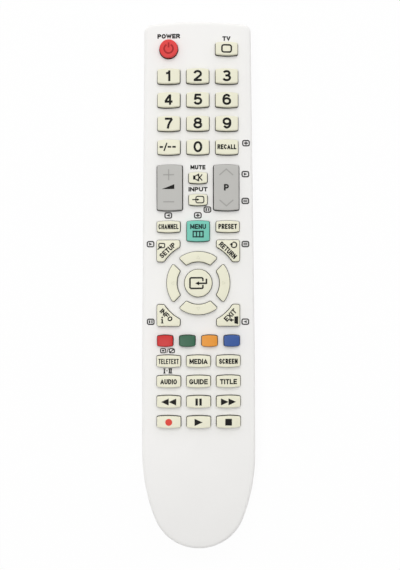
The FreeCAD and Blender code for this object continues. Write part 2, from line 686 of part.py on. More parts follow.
def make_bottom_case():
    """The lower case: hull shell with the way for the cover, battery bay, bulkhead and gussets."""
    shell = hull(0.0).cut(hull(WALL))
    floor = WALL + COVER_GAP
    half_x = CELL_PITCH / 2 + CELL_RADIUS + BAY_SIDE_GAP + BAY_WALL
    bay = bay_box(BAY_WALL, BAY_ROOF)
    bay = bay.cut(box(-WIDTH, WIDTH, -LENGTH, LENGTH, -1.0, floor))
    front = bay.BoundBox.YMax
    inside = hull(WALL / 2)
    bulkhead = box(-WIDTH, WIDTH, front - BAY_WALL, front + BULKHEAD_BACK, floor, GUSSET_TOP_Z)
    foot = box(-COVER_HALF_WIDTH, COVER_HALF_WIDTH, COVER_FRONT_Y + COVER_GAP,
               front + BULKHEAD_BACK, WALL / 2, GUSSET_TOP_Z)
    pieces = [bay, bulkhead.common(inside), foot.common(inside)]
    for y in GUSSET_PLACES_Y:
        for x0, x1 in ((-WIDTH, -half_x + BAY_WALL / 2), (half_x - BAY_WALL / 2, WIDTH)):
            gusset = box(x0, x1, y - GUSSET_THICKNESS / 2, y + GUSSET_THICKNESS / 2,
                         floor, GUSSET_TOP_Z)
            pieces.append(gusset.common(inside))
    for y in TAB_PLACES_Y:
        edge = side_x(y + TAB_LENGTH / 2) - WALL - TAB_GAP
        span = (y - TAB_LENGTH / 2, y + TAB_LENGTH / 2)
        tab = box(edge - TAB_THICKNESS, edge, *span, TAB_FOOT_Z, TAB_TOP_Z)
        foot = box(edge - TAB_THICKNESS, WIDTH, *span, TAB_FOOT_Z, PARTING_Z - TAB_GAP).common(inside)
        pieces += [half.mirror(V(0, 0, 0), V(1, 0, 0)) for half in (tab, foot)] + [tab, foot]
    cuts = [bay_box(), cover_block(COVER_GAP)] + rails(RAIL_CLEARANCE)
    return shell.fuse(pieces).cut(cuts).removeSplitter()


def make_battery_cover():
    """The cover: its piece of the hull, a rail along each side and a ribbed thumb grip."""
    cover = hull(0.0).cut(hull(WALL)).common(cover_block()).fuse(rails())
    grooves = []
    for i in range(GRIP_GROOVES):
        y = GRIP_Y - i * GRIP_PITCH
        grooves.append(box(-GRIP_LENGTH / 2, GRIP_LENGTH / 2, y - GRIP_WIDTH / 2,
                           y + GRIP_WIDTH / 2, -1.0, GRIP_DEPTH))
    return cover.cut(grooves).removeSplitter()


def make_membrane():
    """The contact membrane between the keys and the board, cut out round hooks and emitter."""
    sheet = prism(inset_outline(MEMBRANE_INSET), BOARD_TOP_Z, BOARD_TOP_Z + MEMBRANE_THICKNESS)
    tail = box(-WIDTH, WIDTH, -LENGTH, MEMBRANE_TAIL_Y, 0, FAR)
    reach = HOOK_BLOCK / 2 + HOOK_CLEARANCE
    gaps = [box(x - reach, x + reach, y - reach, y + reach, 0, FAR) for x, y in hook_places()]
    return sheet.cut([tail, led_notch(LED_LEAD_RUN)] + gaps)


def led_notch(depth):
    """The way for the emitter, which goes on behind it by depth."""
    half = LED_RADIUS + BOARD_NOTCH_CLEARANCE
    back = led_back_y() - depth - BOARD_NOTCH_CLEARANCE
    return box(-half, half, back, LENGTH, 0, FAR)


def make_board():
    """The board, notched for the emitter and slotted for its hooks."""
    board = prism(inset_outline(BOARD_INSET), BOARD_TOP_Z - BOARD_THICKNESS, BOARD_TOP_Z)
    board = board.cut(box(-WIDTH, WIDTH, -LENGTH, BOARD_TAIL_Y, 0, FAR))
    return board.cut([led_notch(0.0)] + [hook_slot(x, y) for x, y in hook_places()])


def led_back_y():
    return LENGTH / 2 - LED_RECESS - LED_LENGTH


def make_led():
    """The emitter: body with a tapered nose, and two leads that run back over the board."""
    tip_y = LENGTH / 2 - LED_RECESS
    back = led_back_y()
    body = Part.makeCylinder(LED_RADIUS, LED_LENGTH - LED_NOSE, V(0, back, LED_Z), V(0, 1, 0))
    nose = Part.makeCone(LED_RADIUS, LED_RADIUS / 2, LED_NOSE, V(0, tip_y - LED_NOSE, LED_Z),
                         V(0, 1, 0))
    half = LED_LEAD / 2
    leads = [box(x - half, x + half, back - LED_LEAD_RUN, back, BOARD_TOP_Z,
                 BOARD_TOP_Z + LED_LEAD) for x in (-LED_LEAD_PITCH / 2, LED_LEAD_PITCH / 2)]
    return body.fuse([nose] + leads).removeSplitter()


def make_chip():
    x, y, across, along, deep = CHIP
    z = BOARD_TOP_Z - BOARD_THICKNESS
    body = box(x - across / 2, x + across / 2, y - along / 2, y + along / 2, z - deep, z)
    width, reach, thick = CHIP_LEG
    legs = []
    for i in range(CHIP_LEGS):
        lx = x + (i - (CHIP_LEGS - 1) / 2) * across / CHIP_LEGS
        for side in (-1, 1):
            near, far = sorted((y + side * along / 2, y + side * (along / 2 + reach)))
            legs.append(box(lx - width / 2, lx + width / 2, near, far, z - thick, z))
    return body.fuse(legs)


def make_resonator():
    x, y, across, along, deep = RESONATOR
    z = BOARD_TOP_Z - BOARD_THICKNESS
    return box(x - across / 2, x + across / 2, y - along / 2, y + along / 2, z - deep, z)


def make_capacitor():
    x, y, radius, deep = CAPACITOR
    z = BOARD_TOP_Z - BOARD_THICKNESS
    can = Part.makeCylinder(radius, deep, V(x, y, z - deep))
    return can.cut(box(x - radius, x + radius, y - 0.2, y + 0.2, z - deep, z - deep + 0.3))


def cell_z():
    return WALL + CELL_LIFT + CELL_RADIUS


def make_cell(side):
    """A cell with its nub towards the tail on the left side and the head on the right."""
    x = side * CELL_PITCH / 2
    body = CELL_LENGTH - CELL_NUB_LENGTH
    start = BAY_CENTRE_Y - side * CELL_LENGTH / 2
    can = Part.makeCylinder(CELL_RADIUS, body, V(x, start, cell_z()), V(0, side, 0))
    nub = Part.makeCylinder(CELL_NUB_RADIUS, CELL_NUB_LENGTH, V(x, start + side * body, cell_z()),
                            V(0, side, 0))
    return can.fuse(nub)


def contact_plate(x0, x1, end):
    """A flat contact against an end wall of the bay. end is 1 at the head, -1 at the tail."""
    wall = BAY_CENTRE_Y + end * (CELL_LENGTH / 2 + CONTACT_SPACE)
    near, far = sorted((wall, wall - end * CONTACT_THICKNESS))
    z = cell_z()
    return box(x0, x1, near, far, z - CONTACT_WIDTH / 2, z + CONTACT_WIDTH / 2)


def contact_leaf(x, end):
    """A leaf that stands out from an end wall of the bay to touch the end of a cell."""
    wall = BAY_CENTRE_Y + end * (CELL_LENGTH / 2 + CONTACT_SPACE)
    base = wall - end * CONTACT_THICKNESS
    tip = wall - end * CONTACT_SPACE
    z = cell_z()
    foot, flat, thick = CONTACT_WIDTH / 2, CONTACT_FLAT / 2, CONTACT_THICKNESS
    profile = [(base, z - foot), (tip, z - flat), (tip, z + flat), (base, z + foot),
               (base, z + foot - thick), (tip + end * thick, z + flat - thick),
               (tip + end * thick, z - flat + thick), (base, z - foot + thick),
               (base, z - foot)]
    half = CONTACT_HALF_WIDTH
    face = Part.Face(Part.makePolygon([V(x - half, py, pz) for py, pz in profile]))
    return face.extrude(V(2 * half, 0, 0))


def make_contacts():
    """The contacts: one bridge at the tail end of the bay, and one contact each at the head."""
    half = CELL_PITCH / 2
    reach = half + CELL_RADIUS - CONTACT_EDGE
    bridge = contact_plate(-reach, reach, -1).fuse([contact_leaf(x, -1) for x in (-half, half)])
    left = contact_plate(-reach, -CONTACT_EDGE, 1).fuse(contact_leaf(-half, 1))
    right = contact_plate(CONTACT_EDGE, reach, 1).fuse(contact_leaf(half, 1))
    return Part.makeCompound([bridge, left, right])


def main():
    keys = key_table()
    PARTS["top_case"] = make_top_case(keys)
    PARTS["bottom_case"] = make_bottom_case()
    PARTS["battery_cover"] = make_battery_cover()
    PARTS["contact_membrane"] = make_membrane()
    PARTS["circuit_board"] = make_board()
    PARTS["infrared_emitter"] = make_led()
    PARTS["controller_chip"] = make_chip()
    PARTS["resonator"] = make_resonator()
    PARTS["capacitor"] = make_capacitor()
    PARTS["battery_left"] = make_cell(-1)
    PARTS["battery_right"] = make_cell(1)
    PARTS["battery_contacts"] = make_contacts()
    for name, (x, y, outline, corner) in keys.items():
        PARTS[name] = make_key(name, x, y, outline, corner)
    os.makedirs("parts", exist_ok=True)
    for name, shape in PARTS.items():
        shape.exportStep(os.path.join("parts", name + ".step"))


main()
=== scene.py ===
"""Looks of the TV remote control: case skin, rounded keys, printed marks, materials, light, camera.

Sizes are in millimetres in the row frame and become metres where a mesh is made.
"""
from math import asin, atan2, ceil, cos, hypot, pi, radians, sin, sqrt, tan

import bmesh
import bpy
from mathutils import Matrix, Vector
from mathutils.geometry import delaunay_2d_cdt


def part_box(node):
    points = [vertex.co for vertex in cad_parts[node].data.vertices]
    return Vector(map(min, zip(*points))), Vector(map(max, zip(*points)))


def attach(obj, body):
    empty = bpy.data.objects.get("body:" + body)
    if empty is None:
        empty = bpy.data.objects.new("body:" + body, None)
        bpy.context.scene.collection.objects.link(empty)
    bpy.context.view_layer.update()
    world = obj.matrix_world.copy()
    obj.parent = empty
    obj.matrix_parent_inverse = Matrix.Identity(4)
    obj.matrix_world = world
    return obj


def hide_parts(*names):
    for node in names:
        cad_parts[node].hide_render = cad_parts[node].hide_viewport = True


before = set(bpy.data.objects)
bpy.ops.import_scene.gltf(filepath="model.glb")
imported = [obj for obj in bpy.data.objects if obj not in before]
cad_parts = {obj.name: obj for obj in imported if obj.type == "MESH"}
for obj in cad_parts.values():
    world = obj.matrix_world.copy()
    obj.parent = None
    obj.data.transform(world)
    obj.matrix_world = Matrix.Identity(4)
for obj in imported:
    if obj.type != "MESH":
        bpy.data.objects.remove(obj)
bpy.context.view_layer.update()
MM = 0.001


def node_box(node):
    """Lowest and highest corner of a CAD node in millimetres."""
    low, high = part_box(node)
    return [v / MM for v in low], [v / MM for v in high]


# Case outline and crown
case_low, case_high = node_box("top_case")
LENGTH = case_high[1] - case_low[1]
WIDTH = case_high[0] - case_low[0]
PARTING_Z = case_low[2]
HEAD_WIDTH = 42.9
HEAD_BOW = 1.1
HEAD_CORNER = 3.2
HEAD_BOW_RADIUS = ((HEAD_WIDTH / 2) ** 2 + HEAD_BOW ** 2) / (2 * HEAD_BOW)
TAIL_TO_TAPER = 76.9
TAPER_START_Y = TAIL_TO_TAPER - LENGTH / 2
TAIL_TIP_RADIUS = 19.0
TAIL_SHOULDER_RADIUS = 75.0
CREST_Z = 22.0
HEAD_FALL = 1.8
TAIL_TO_ROLL = 46.9
ROLL_START_Y = TAIL_TO_ROLL - LENGTH / 2
ROLL_RADIUS = 260.0
CROSS_RADIUS = 200.0
RIM_RADIUS = 1.5
SEAM_DEPTH = 0.18
HOLE_DEPTH = 2.3
SKIN_GRID = 1.6
HOLE_MARGIN = SKIN_GRID * 0.45
ROUND_HOLE_MARGIN = SKIN_GRID * 0.4
SIDE_STEPS = 60
LIP_RADIUS = 0.16
LED_Z = 15.0
LED_WINDOW_RADIUS = 2.6
LED_WINDOW_DEPTH = 3.0
LED_WALL_HALF = 6.0
CREASE_ANGLE = radians(28)
WELD_DISTANCE = 0.005
MERGE_DISTANCE = 0.002

# Keys
KEY_PROUD = 2.1
KEY_CLEARANCE = 0.2
ROCKER_CLEARANCE = 0.28
KEY_EDGE = 0.3
KEY_CORNER = 0.48
# Painted shade in the gaps round the keys: a near-black band on each hole's wall from this depth below the
# case top, and on each key's skirt from this rise above the case top down to and over its flange.
PAINTED_SHADE_DEPTH = 0.3
PAINTED_SHADE_RISE = 0.55
KEY_BOW = 0.35
KEY_DOME = 0.12
DOME_REACH = 4.0
CAP_GRID = 1.0
CAP_MARGIN = 0.4
FLANGE_REACH = 0.6
FLANGE_Z = (16.05, 16.65)
FLANGE_LIP = 0.45
RING_Y = node_box("enter_key")[0][1] / 2 + node_box("enter_key")[1][1] / 2
POWER_RADIUS = 3.65
ENTER_RADIUS = 5.45
ARROW_INNER_RADIUS = 8.6
ARROW_OUTER_RADIUS = 12.55
ARROW_CHANNEL = 1.7
ARROW_CORNER = 0.55
CORNER_KEY_NEAR = (7.35, 8.6)
CORNER_KEY_FAR = (16.5, 17.15)
CORNER_KEY_ARC = 16.2
CORNER_KEY_ROUND = 0.7

# Grain of the plastics
GRAIN_SCALE = 2600.0
GRAIN_TO_PATCH = 40
GRAIN_DEPTH = 0.00002
PATCH_RANGE = (0.3, 0.7)
GLOSS_RANGE = (0.9, 1.1)

# Camera and picture
CAMERA_DISTANCE = 335.0
OUTLINE_Z = 15.0
MM_PER_PIXEL = 0.408
PICTURE_HEIGHT = 570
CAMERA_PLACE = (0.69, 0.38)
CAMERA_TURN = radians(-0.164)
SENSOR = 36.0
CLIP_START = 0.01

# Light: places in metres, sizes and powers of the lamps, and shares of the room's strength
LAMP_HEAD = ((0.0, 0.45, 0.9), 0.6, 2.6)
LAMP_SIDE = ((-0.5, -0.35, 2.4), 0.25, 16.0)
ROOM_STRENGTH = 0.68
ROOM_TO_HEAD = 0.6
ROOM_HORIZON = 1.5
ROOM_ZENITH = 0.5
FLOOR_HALF = 3.0
FLOOR_SHADE = 0.88
FLOOR_GLOW = 0.95

# Print: lift off the surface, stroke widths, and the skeleton of a digit
PRINT_LIFT = 0.045
FINE_STROKE = 0.36
ICON_STROKE = 0.5
DIGIT_STROKE = 0.87
DIGIT_SPAN = (2.75, 3.58)
WORD_STROKE = 0.46
LETTER_SPACE = 0.15
SIGN_ARM = 2.2
STROKE_STEP = 1.0


# Shapes in plan

def spread(start, end, count):
    return [start + (end - start) * k / count for k in range(count + 1)]


def case_half():
    """Points down the right side of the case from head to tail, each (x, y, normal x, normal y)."""
    half = WIDTH / 2
    turn = atan2((WIDTH - HEAD_WIDTH) / 2, LENGTH / 2 - TAPER_START_Y)
    bow_y = LENGTH / 2 - HEAD_BOW_RADIUS
    low, high = LENGTH / 2 - 3 * HEAD_CORNER, LENGTH / 2
    while high - low > 1e-9:
        corner_y = (low + high) / 2
        corner_x = half - (corner_y - TAPER_START_Y) * tan(turn) - HEAD_CORNER / cos(turn)
        fits = hypot(corner_x, corner_y - bow_y) < HEAD_BOW_RADIUS - HEAD_CORNER
        low, high = (corner_y, high) if fits else (low, corner_y)
    bow_angle = atan2(corner_y - bow_y, corner_x)
    tip_y = TAIL_TIP_RADIUS - LENGTH / 2
    reach = TAIL_SHOULDER_RADIUS - TAIL_TIP_RADIUS
    shoulder = (half - TAIL_SHOULDER_RADIUS, tip_y + sqrt(reach ** 2 - (TAIL_SHOULDER_RADIUS - half) ** 2))
    tip_angle = atan2(tip_y - shoulder[1], -shoulder[0])
    arcs = [((0.0, bow_y), HEAD_BOW_RADIUS, pi / 2, bow_angle, 16),
            ((corner_x, corner_y), HEAD_CORNER, bow_angle, turn, 8),
            (shoulder, TAIL_SHOULDER_RADIUS, 0.0, tip_angle, 18),
            ((0.0, tip_y), TAIL_TIP_RADIUS, tip_angle, -pi / 2, 18)]
    points = [[(c[0] + r * cos(a), c[1] + r * sin(a), cos(a), sin(a)) for a in spread(a0, a1, n)]
              for c, r, a0, a1, n in arcs]
    head, corner, shoulder_arc, tip = points
    start, end = corner[-1], shoulder_arc[0]
    side = [(start[0] + (half - start[0]) * t, start[1] + (TAPER_START_Y - start[1]) * t,
             cos(turn), sin(turn)) for t in spread(0.0, 1.0, SIDE_STEPS)[1:]]
    flank = [(half, y, 1.0, 0.0) for y in spread(TAPER_START_Y, end[1], 18)[1:-1]]
    return head + corner[1:] + side + flank + shoulder_arc + tip[1:]


def case_ring(inset):
    """The case outline drawn in by inset, anticlockwise seen from above."""
    half = case_half()
    right = [(x - nx * inset, y - ny * inset) for x, y, nx, ny in half]
    left = [(-x, y) for x, y in right[1:-1]]
    return right[::-1] + left


def barrel(centre, half_size):
    """A key whose far and near edges bow. The result is a function of a growth."""
    (cx, cy), (half_w, half_h) = centre, half_size
    bow_radius = (half_w ** 2 + KEY_BOW ** 2) / (2 * KEY_BOW)
    bow_y = half_h - bow_radius

    def outline(grow):
        r = KEY_CORNER + grow
        x = half_w + grow - r
        y = bow_y + sqrt((bow_radius + grow - r) ** 2 - x * x)
        turn = atan2(y - bow_y, x)
        quarter = [(x + r * cos(a), y + r * sin(a)) for a in spread(0.0, turn, 6)]
        quarter += [((bow_radius + grow) * cos(a), bow_y + (bow_radius + grow) * sin(a))
                    for a in spread(turn, pi / 2, 5)[1:]]
        top = quarter + [(-px, py) for px, py in quarter[-2::-1]]
        return [(cx + px, cy + py) for px, py in top + [(-px, -py) for px, py in top]]
    return outline


def disc(centre, radius):
    def outline(grow):
        return [(centre[0] + (radius + grow) * cos(a), centre[1] + (radius + grow) * sin(a))
                for a in spread(0.0, 2 * pi, 64)[:-1]]
    return outline


def fillet(centre, radius, start, end, count=5):
    return [(centre[0] + radius * cos(a), centre[1] + radius * sin(a)) for a in spread(start, end, count)]


def arrow(turn):
    """A quarter of the ring, for the key that points along turn, in radians from +Y."""
    def outline(grow):
        r = ARROW_CORNER + grow
        inner, outer, channel = ARROW_INNER_RADIUS - grow, ARROW_OUTER_RADIUS + grow, ARROW_CHANNEL - grow
        far = pi / 4 + asin((channel + r) / (outer - r))
        near = pi / 4 + asin((channel + r) / (inner + r))
        far_centre = ((outer - r) * cos(far), (outer - r) * sin(far))
        near_centre = ((inner + r) * cos(near), (inner + r) * sin(near))
        right = fillet((0, 0), inner, pi / 2, near, 8)[:-1]
        right += fillet(near_centre, r, near + pi, 7 * pi / 4)[:-1] if near + pi < 7 * pi / 4 else []
        right += fillet(far_centre, r, -pi / 4, far)
        right += fillet((0, 0), outer, far, pi / 2, 12)[1:]
        shape = right + [(-x, y) for x, y in right[-2:0:-1]]
        return [(x * cos(turn) - y * sin(turn), RING_Y + x * sin(turn) + y * cos(turn)) for x, y in shape]
    return outline


def corner_key(sign_x, sign_y):
    """A key in a corner beside the ring, hollowed along a circle about the ring's centre."""
    def outline(grow):
        r = CORNER_KEY_ROUND + grow
        near_x, near_y = (v - grow for v in CORNER_KEY_NEAR)
        far_x, far_y = (v + grow for v in CORNER_KEY_FAR)
        arc = CORNER_KEY_ARC - grow
        first = (near_x + r, sqrt((arc + r) ** 2 - (near_x + r) ** 2))
        last = (sqrt((arc + r) ** 2 - (near_y + r) ** 2), near_y + r)
        a_first, a_last = atan2(first[1], first[0]), atan2(last[1], last[0])
        shape = fillet(first, r, pi, pi + a_first)
        shape += fillet((0, 0), arc, a_first, a_last, 12)[1:-1]
        shape += fillet(last, r, pi + a_last, 3 * pi / 2)
        shape += fillet((far_x - r, near_y + r), r, -pi / 2, 0)
        shape += fillet((far_x - r, far_y - r), r, 0, pi / 2)
        shape += fillet((near_x + r, far_y - r), r, pi / 2, pi)
        shape = [(sign_x * x, RING_Y + sign_y * y) for x, y in shape]
        return shape if sign_x * sign_y > 0 else shape[::-1]
    return outline


# Heights

def top_height(x, y, rise=0.0):
    """Height of the case top, raised by rise."""
    cross = CROSS_RADIUS + rise
    drop = cross - sqrt(cross * cross - x * x)
    slope = atan2(HEAD_FALL, LENGTH / 2 - ROLL_START_Y)
    if y > ROLL_START_Y:
        return CREST_Z + (rise - drop) / cos(slope) - (y - ROLL_START_Y) * tan(slope)
    centre_y = ROLL_START_Y - ROLL_RADIUS * sin(slope)
    centre_z = CREST_Z - ROLL_RADIUS * cos(slope)
    return centre_z + sqrt((ROLL_RADIUS + rise - drop) ** 2 - (y - centre_y) ** 2)


def key_surface(centre, reach):
    """The top of a key as a function of place: the case's tangent plane, raised and a little domed."""
    cx, cy = centre
    step = 0.5
    slope_x = (top_height(cx + step, cy) - top_height(cx - step, cy)) / (2 * step)
    slope_y = (top_height(cx, cy + step) - top_height(cx, cy - step)) / (2 * step)
    level = top_height(cx, cy, KEY_PROUD - PRINT_LIFT)

    def height(x, y):
        away = ((x - cx) ** 2 + (y - cy) ** 2) / reach ** 2
        return level + slope_x * (x - cx) + slope_y * (y - cy) - KEY_DOME * away
    return height


# Meshes

def new_piece(name, bm, body, finishes):
    """A piece in metres from a bmesh in millimetres, on its body."""
    bmesh.ops.scale(bm, vec=(MM, MM, MM), verts=bm.verts)
    mesh = bpy.data.meshes.new(name)
    bm.to_mesh(mesh)
    bm.free()
    for finish in finishes:
        mesh.materials.append(finish)
    piece = bpy.data.objects.new(name, mesh)
    bpy.context.collection.objects.link(piece)
    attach(piece, body)
    return piece


def new_moulding(name, bm, body, finishes):
    """A smooth piece whose faces are joined and look outwards."""
    bmesh.ops.remove_doubles(bm, verts=bm.verts, dist=MERGE_DISTANCE)
    bmesh.ops.recalc_face_normals(bm, faces=bm.faces)
    piece = new_piece(name, bm, body, finishes)
    for face in piece.data.polygons:
        face.use_smooth = True
    return piece


def add_ring(bm, points, height):
    return [bm.verts.new((x, y, height(x, y))) for x, y in points]


def bridge(bm, low, high, finish=0):
    for i in range(len(low)):
        j = (i + 1) % len(low)
        bm.faces.new((low[i], low[j], high[j], high[i])).material_index = finish


def add_rings(bm, outline, levels, painted_shade_bands=()):
    """Rings of an outline family, one for each (growth, height function), joined in bands.

    The bands numbered in the last argument have the second material, the painted shade.
    """
    rings = [add_ring(bm, outline(grow), height) for grow, height in levels]
    for number, (low, high) in enumerate(zip(rings, rings[1:])):
        bridge(bm, low, high, int(number in painted_shade_bands))
    return rings


def inside(point, loop):
    """Whether a point lies in a closed loop of points."""
    x, y = point
    found = False
    for (ax, ay), (bx, by) in zip(loop, loop[1:] + loop[:1]):
        if (ay > y) != (by > y) and x < ax + (y - ay) / (by - ay) * (bx - ax):
            found = not found
    return found


def grid_points(loop, step, keep_off):
    """Staggered points over a loop, where the function keep_off doesn't refuse them."""
    xs, ys = [p[0] for p in loop], [p[1] for p in loop]
    points = []
    rows = int((max(ys) - min(ys)) / step) + 1
    for row in range(rows):
        y = min(ys) + (row + 0.5) * step
        x = min(xs) + (0.25 + 0.5 * (row % 2)) * step
        while x < max(xs):
            if not keep_off((x, y)):
                points.append((x, y))
            x += step
    return points


def add_sheet(bm, outer, holes, points, lift):
    """Fills outer, less the holes, with triangles over the points given, each lifted by lift."""
    coords, loops = [], []
    for loop in [outer] + holes:
        loops.append(list(range(len(coords), len(coords) + len(loop))))
        coords += loop
    coords += points
    found = delaunay_2d_cdt([Vector(p) for p in coords], [], loops, 1, 1e-5)
    verts = [bm.verts.new(lift(v.x, v.y)) for v in found[0]]
    for face, origin in zip(found[2], found[5]):
        if 0 in origin and len(origin) == 1:
            bm.faces.new([verts[i] for i in face])


def round_over(radius, count):
    """(inset, drop) pairs of a quarter round, from its top inwards end to its side."""
    return [(radius * (1 - sin(a)), radius * (1 - cos(a))) for a in spread(0.0, pi / 2, count)]


# Materials

def material(name, color, roughness, bump=0.04, vary=0.03, specular=0.25, coat=0.0):
    """Moulded plastic: a fine grain in colour, gloss and surface."""
    made = bpy.data.materials.new(name)
    made.use_nodes = True
    nodes, links = made.node_tree.nodes, made.node_tree.links
    shader = nodes["Principled BSDF"]
    place = nodes.new("ShaderNodeTexCoord")
    fine = nodes.new("ShaderNodeTexNoise")
    fine.inputs["Scale"].default_value = GRAIN_SCALE
    fine.inputs["Detail"].default_value = 3.0
    broad = nodes.new("ShaderNodeTexNoise")
    broad.inputs["Scale"].default_value = GRAIN_SCALE / GRAIN_TO_PATCH
    broad.inputs["Detail"].default_value = 2.0
    for texture in (fine, broad):
        links.new(place.outputs["Object"], texture.inputs["Vector"])
    ramp = nodes.new("ShaderNodeValToRGB")
    for stop, position, share in zip(ramp.color_ramp.elements, PATCH_RANGE, (1 - vary, 1 + vary)):
        stop.position = position
        stop.color = (*(min(1.0, c * share) for c in color), 1)
    links.new(broad.outputs["Fac"], ramp.inputs["Fac"])
    links.new(ramp.outputs["Color"], shader.inputs["Base Color"])
    gloss = nodes.new("ShaderNodeMapRange")
    gloss.inputs["To Min"].default_value = roughness * GLOSS_RANGE[0]
    gloss.inputs["To Max"].default_value = roughness * GLOSS_RANGE[1]
    links.new(fine.outputs["Fac"], gloss.inputs["Value"])
    links.new(gloss.outputs["Result"], shader.inputs["Roughness"])
    relief = nodes.new("ShaderNodeBump")
    relief.inputs["Strength"].default_value = bump
    relief.inputs["Distance"].default_value = GRAIN_DEPTH
    links.new(fine.outputs["Fac"], relief.inputs["Height"])
    links.new(relief.outputs["Normal"], shader.inputs["Normal"])
    shader.inputs["Specular IOR Level"].default_value = specular
    shader.inputs["Coat Weight"].default_value = coat
    return made


def srgb(r, g, b):
    """Linear colour from 0 to 255 display values."""
    values = [v / 255 for v in (r, g, b)]
    return [v / 12.92 if v <= 0.04045 else ((v + 0.055) / 1.055) ** 2.4 for v in values]


CASE = material("case_satin", srgb(236, 235, 233), 0.5, bump=0.25, vary=0.006)
KEY = material("key_cream", srgb(228, 226, 204), 0.45, bump=0.08, vary=0.012)
ROCKER = material("rocker_grey", srgb(183, 182, 178), 0.45, bump=0.1, vary=0.01)
POWER = material("power_red", srgb(217, 57, 56), 0.4, bump=0.06, vary=0.03)
MENU = material("menu_teal", srgb(112, 192, 174), 0.4, bump=0.06, vary=0.02)
RED = material("key_red", srgb(196, 36, 36), 0.4, bump=0.06, vary=0.03)
GREEN = material("key_green", srgb(50, 97, 72), 0.4, bump=0.06, vary=0.03)
AMBER = material("key_amber", srgb(222, 146, 55), 0.4, bump=0.06, vary=0.03)
BLUE = material("key_blue", srgb(57, 88, 152), 0.4, bump=0.06, vary=0.03)
INK = material("print_black", srgb(18, 17, 15), 0.7, bump=0.05, vary=0.05)
GREY_INK = material("print_grey", srgb(58, 57, 56), 0.6, bump=0.05, vary=0.05)
DARK_RED = material("print_dark_red", srgb(164, 26, 28), 0.5, bump=0.05, vary=0.04)
DARK_TEAL = material("print_dark_teal", srgb(14, 46, 44), 0.6, bump=0.05, vary=0.04)
RECORD_RED = material("print_red", srgb(216, 58, 42), 0.45, bump=0.05, vary=0.04)
# Painted shade of moulded relief: the faint arrows on the ring's keys and the signs on the rockers are drawn
# flat, a little darker than their keys, in place of the shading of their relief.
KEY_RELIEF_SHADE = material("key_relief_shade", srgb(212, 211, 188), 0.5, bump=0.05, vary=0.02)
ROCKER_RELIEF_SHADE = material("rocker_relief_shade", srgb(158, 157, 153), 0.5, bump=0.05, vary=0.02)
# Painted shade: near-black, standing in for the shade deep in the gaps round the keys.
PAINTED_SHADE = material("painted_gap_shade", srgb(18, 16, 14), 0.8, bump=0.1, vary=0.05)


# Case skin and keys

def make_keys():
    """Each key's name with its outline family, centre, reach of its dome and material."""
    keys = {}
    special = {"power_key": POWER, "menu_key": MENU, "red_key": RED, "green_key": GREEN,
               "yellow_key": AMBER, "blue_key": BLUE, "volume_rocker": ROCKER, "channel_rocker": ROCKER}
    families = {"power_key": lambda c: disc(c, POWER_RADIUS), "enter_key": lambda c: disc(c, ENTER_RADIUS)}
    for name, turn in (("up_key", 0), ("left_key", 90), ("down_key", 180), ("right_key", 270)):
        families[name] = lambda c, turn=turn: arrow(radians(turn))
    corners = (("tools_key", -1, 1), ("return_key", 1, 1), ("info_key", -1, -1), ("exit_key", 1, -1))
    for name, sx, sy in corners:
        families[name] = lambda c, sx=sx, sy=sy: corner_key(sx, sy)
    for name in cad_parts:
        if not name.endswith(("_key", "_rocker")):
            continue
        low, high = node_box(name)
        centre = ((low[0] + high[0]) / 2, (low[1] + high[1]) / 2)
        half = ((high[0] - low[0]) / 2 - FLANGE_REACH, (high[1] - low[1]) / 2 - FLANGE_REACH)
        family = families.get(name, lambda c, half=half: barrel(c, half))
        keys[name] = (family(centre), centre, max(*half, DOME_REACH), special.get(name, KEY))
    return keys


def hole_growth(name):
    """How far the hole of a key lies outside the key."""
    return ROCKER_CLEARANCE if name.endswith("_rocker") else KEY_CLEARANCE


def add_head_wall(bm, top, bottom):
    """The middle of the head wall, with the emitter's round window and its short tunnel."""
    def head_y(x):
        return LENGTH / 2 - HEAD_BOW_RADIUS + sqrt(HEAD_BOW_RADIUS ** 2 - x * x)

    window = [(LED_WINDOW_RADIUS * cos(a), LED_Z + LED_WINDOW_RADIUS * sin(a))
              for a in spread(0, 2 * pi, 40)[:-1]]
    outer = [(v.co.x, v.co.z) for v in bottom + top[::-1]]
    add_sheet(bm, outer, [window], [], lambda x, z: (x, head_y(x), z))
    mouth = [bm.verts.new((x, head_y(x), z)) for x, z in window]
    back = [bm.verts.new((x, head_y(x) - LED_WINDOW_DEPTH, z)) for x, z in window]
    bridge(bm, mouth, back)


def add_hole(bm, outline, growth):
    """The lip and the wall of a key's hole, with painted shade on the wall below the lip."""
    levels = [(growth + inset, lambda x, y, drop=drop: top_height(x, y) - drop)
              for inset, drop in round_over(LIP_RADIUS, 3)]
    levels.append((growth, lambda x, y: top_height(x, y) - PAINTED_SHADE_DEPTH))
    levels.append((growth, lambda x, y: top_height(x, y) - HOLE_DEPTH))
    add_rings(bm, outline, levels, painted_shade_bands=[len(levels) - 2])


def add_side(bm):
    """The rounded rim and the side wall down to the seam, with the emitter's window in it."""
    levels = [(inset, lambda x, y, drop=drop: top_height(x, y) - drop)
              for inset, drop in round_over(RIM_RADIUS, 7)]
    levels.append((0.0, lambda x, y: PARTING_Z + SEAM_DEPTH))
    levels.append((SEAM_DEPTH, lambda x, y: PARTING_Z))
    made = [add_ring(bm, case_ring(inset), height) for inset, height in levels]
    wall_top, wall_bottom = made[-3], made[-2]
    count = len(wall_top)
    for low, high in zip(made, made[1:]):
        if low is not wall_top:
            bridge(bm, low, high)
    middle = [i for i in range(count) if abs(wall_top[i].co.x) < LED_WALL_HALF and wall_top[i].co.y > 0]
    for i in range(count):
        j = (i + 1) % count
        if i not in middle or j not in middle:
            bm.faces.new((wall_top[i], wall_top[j], wall_bottom[j], wall_bottom[i]))
    middle.sort(key=lambda i: wall_top[i].co.x)
    add_head_wall(bm, [wall_top[i] for i in middle], [wall_bottom[i] for i in middle])


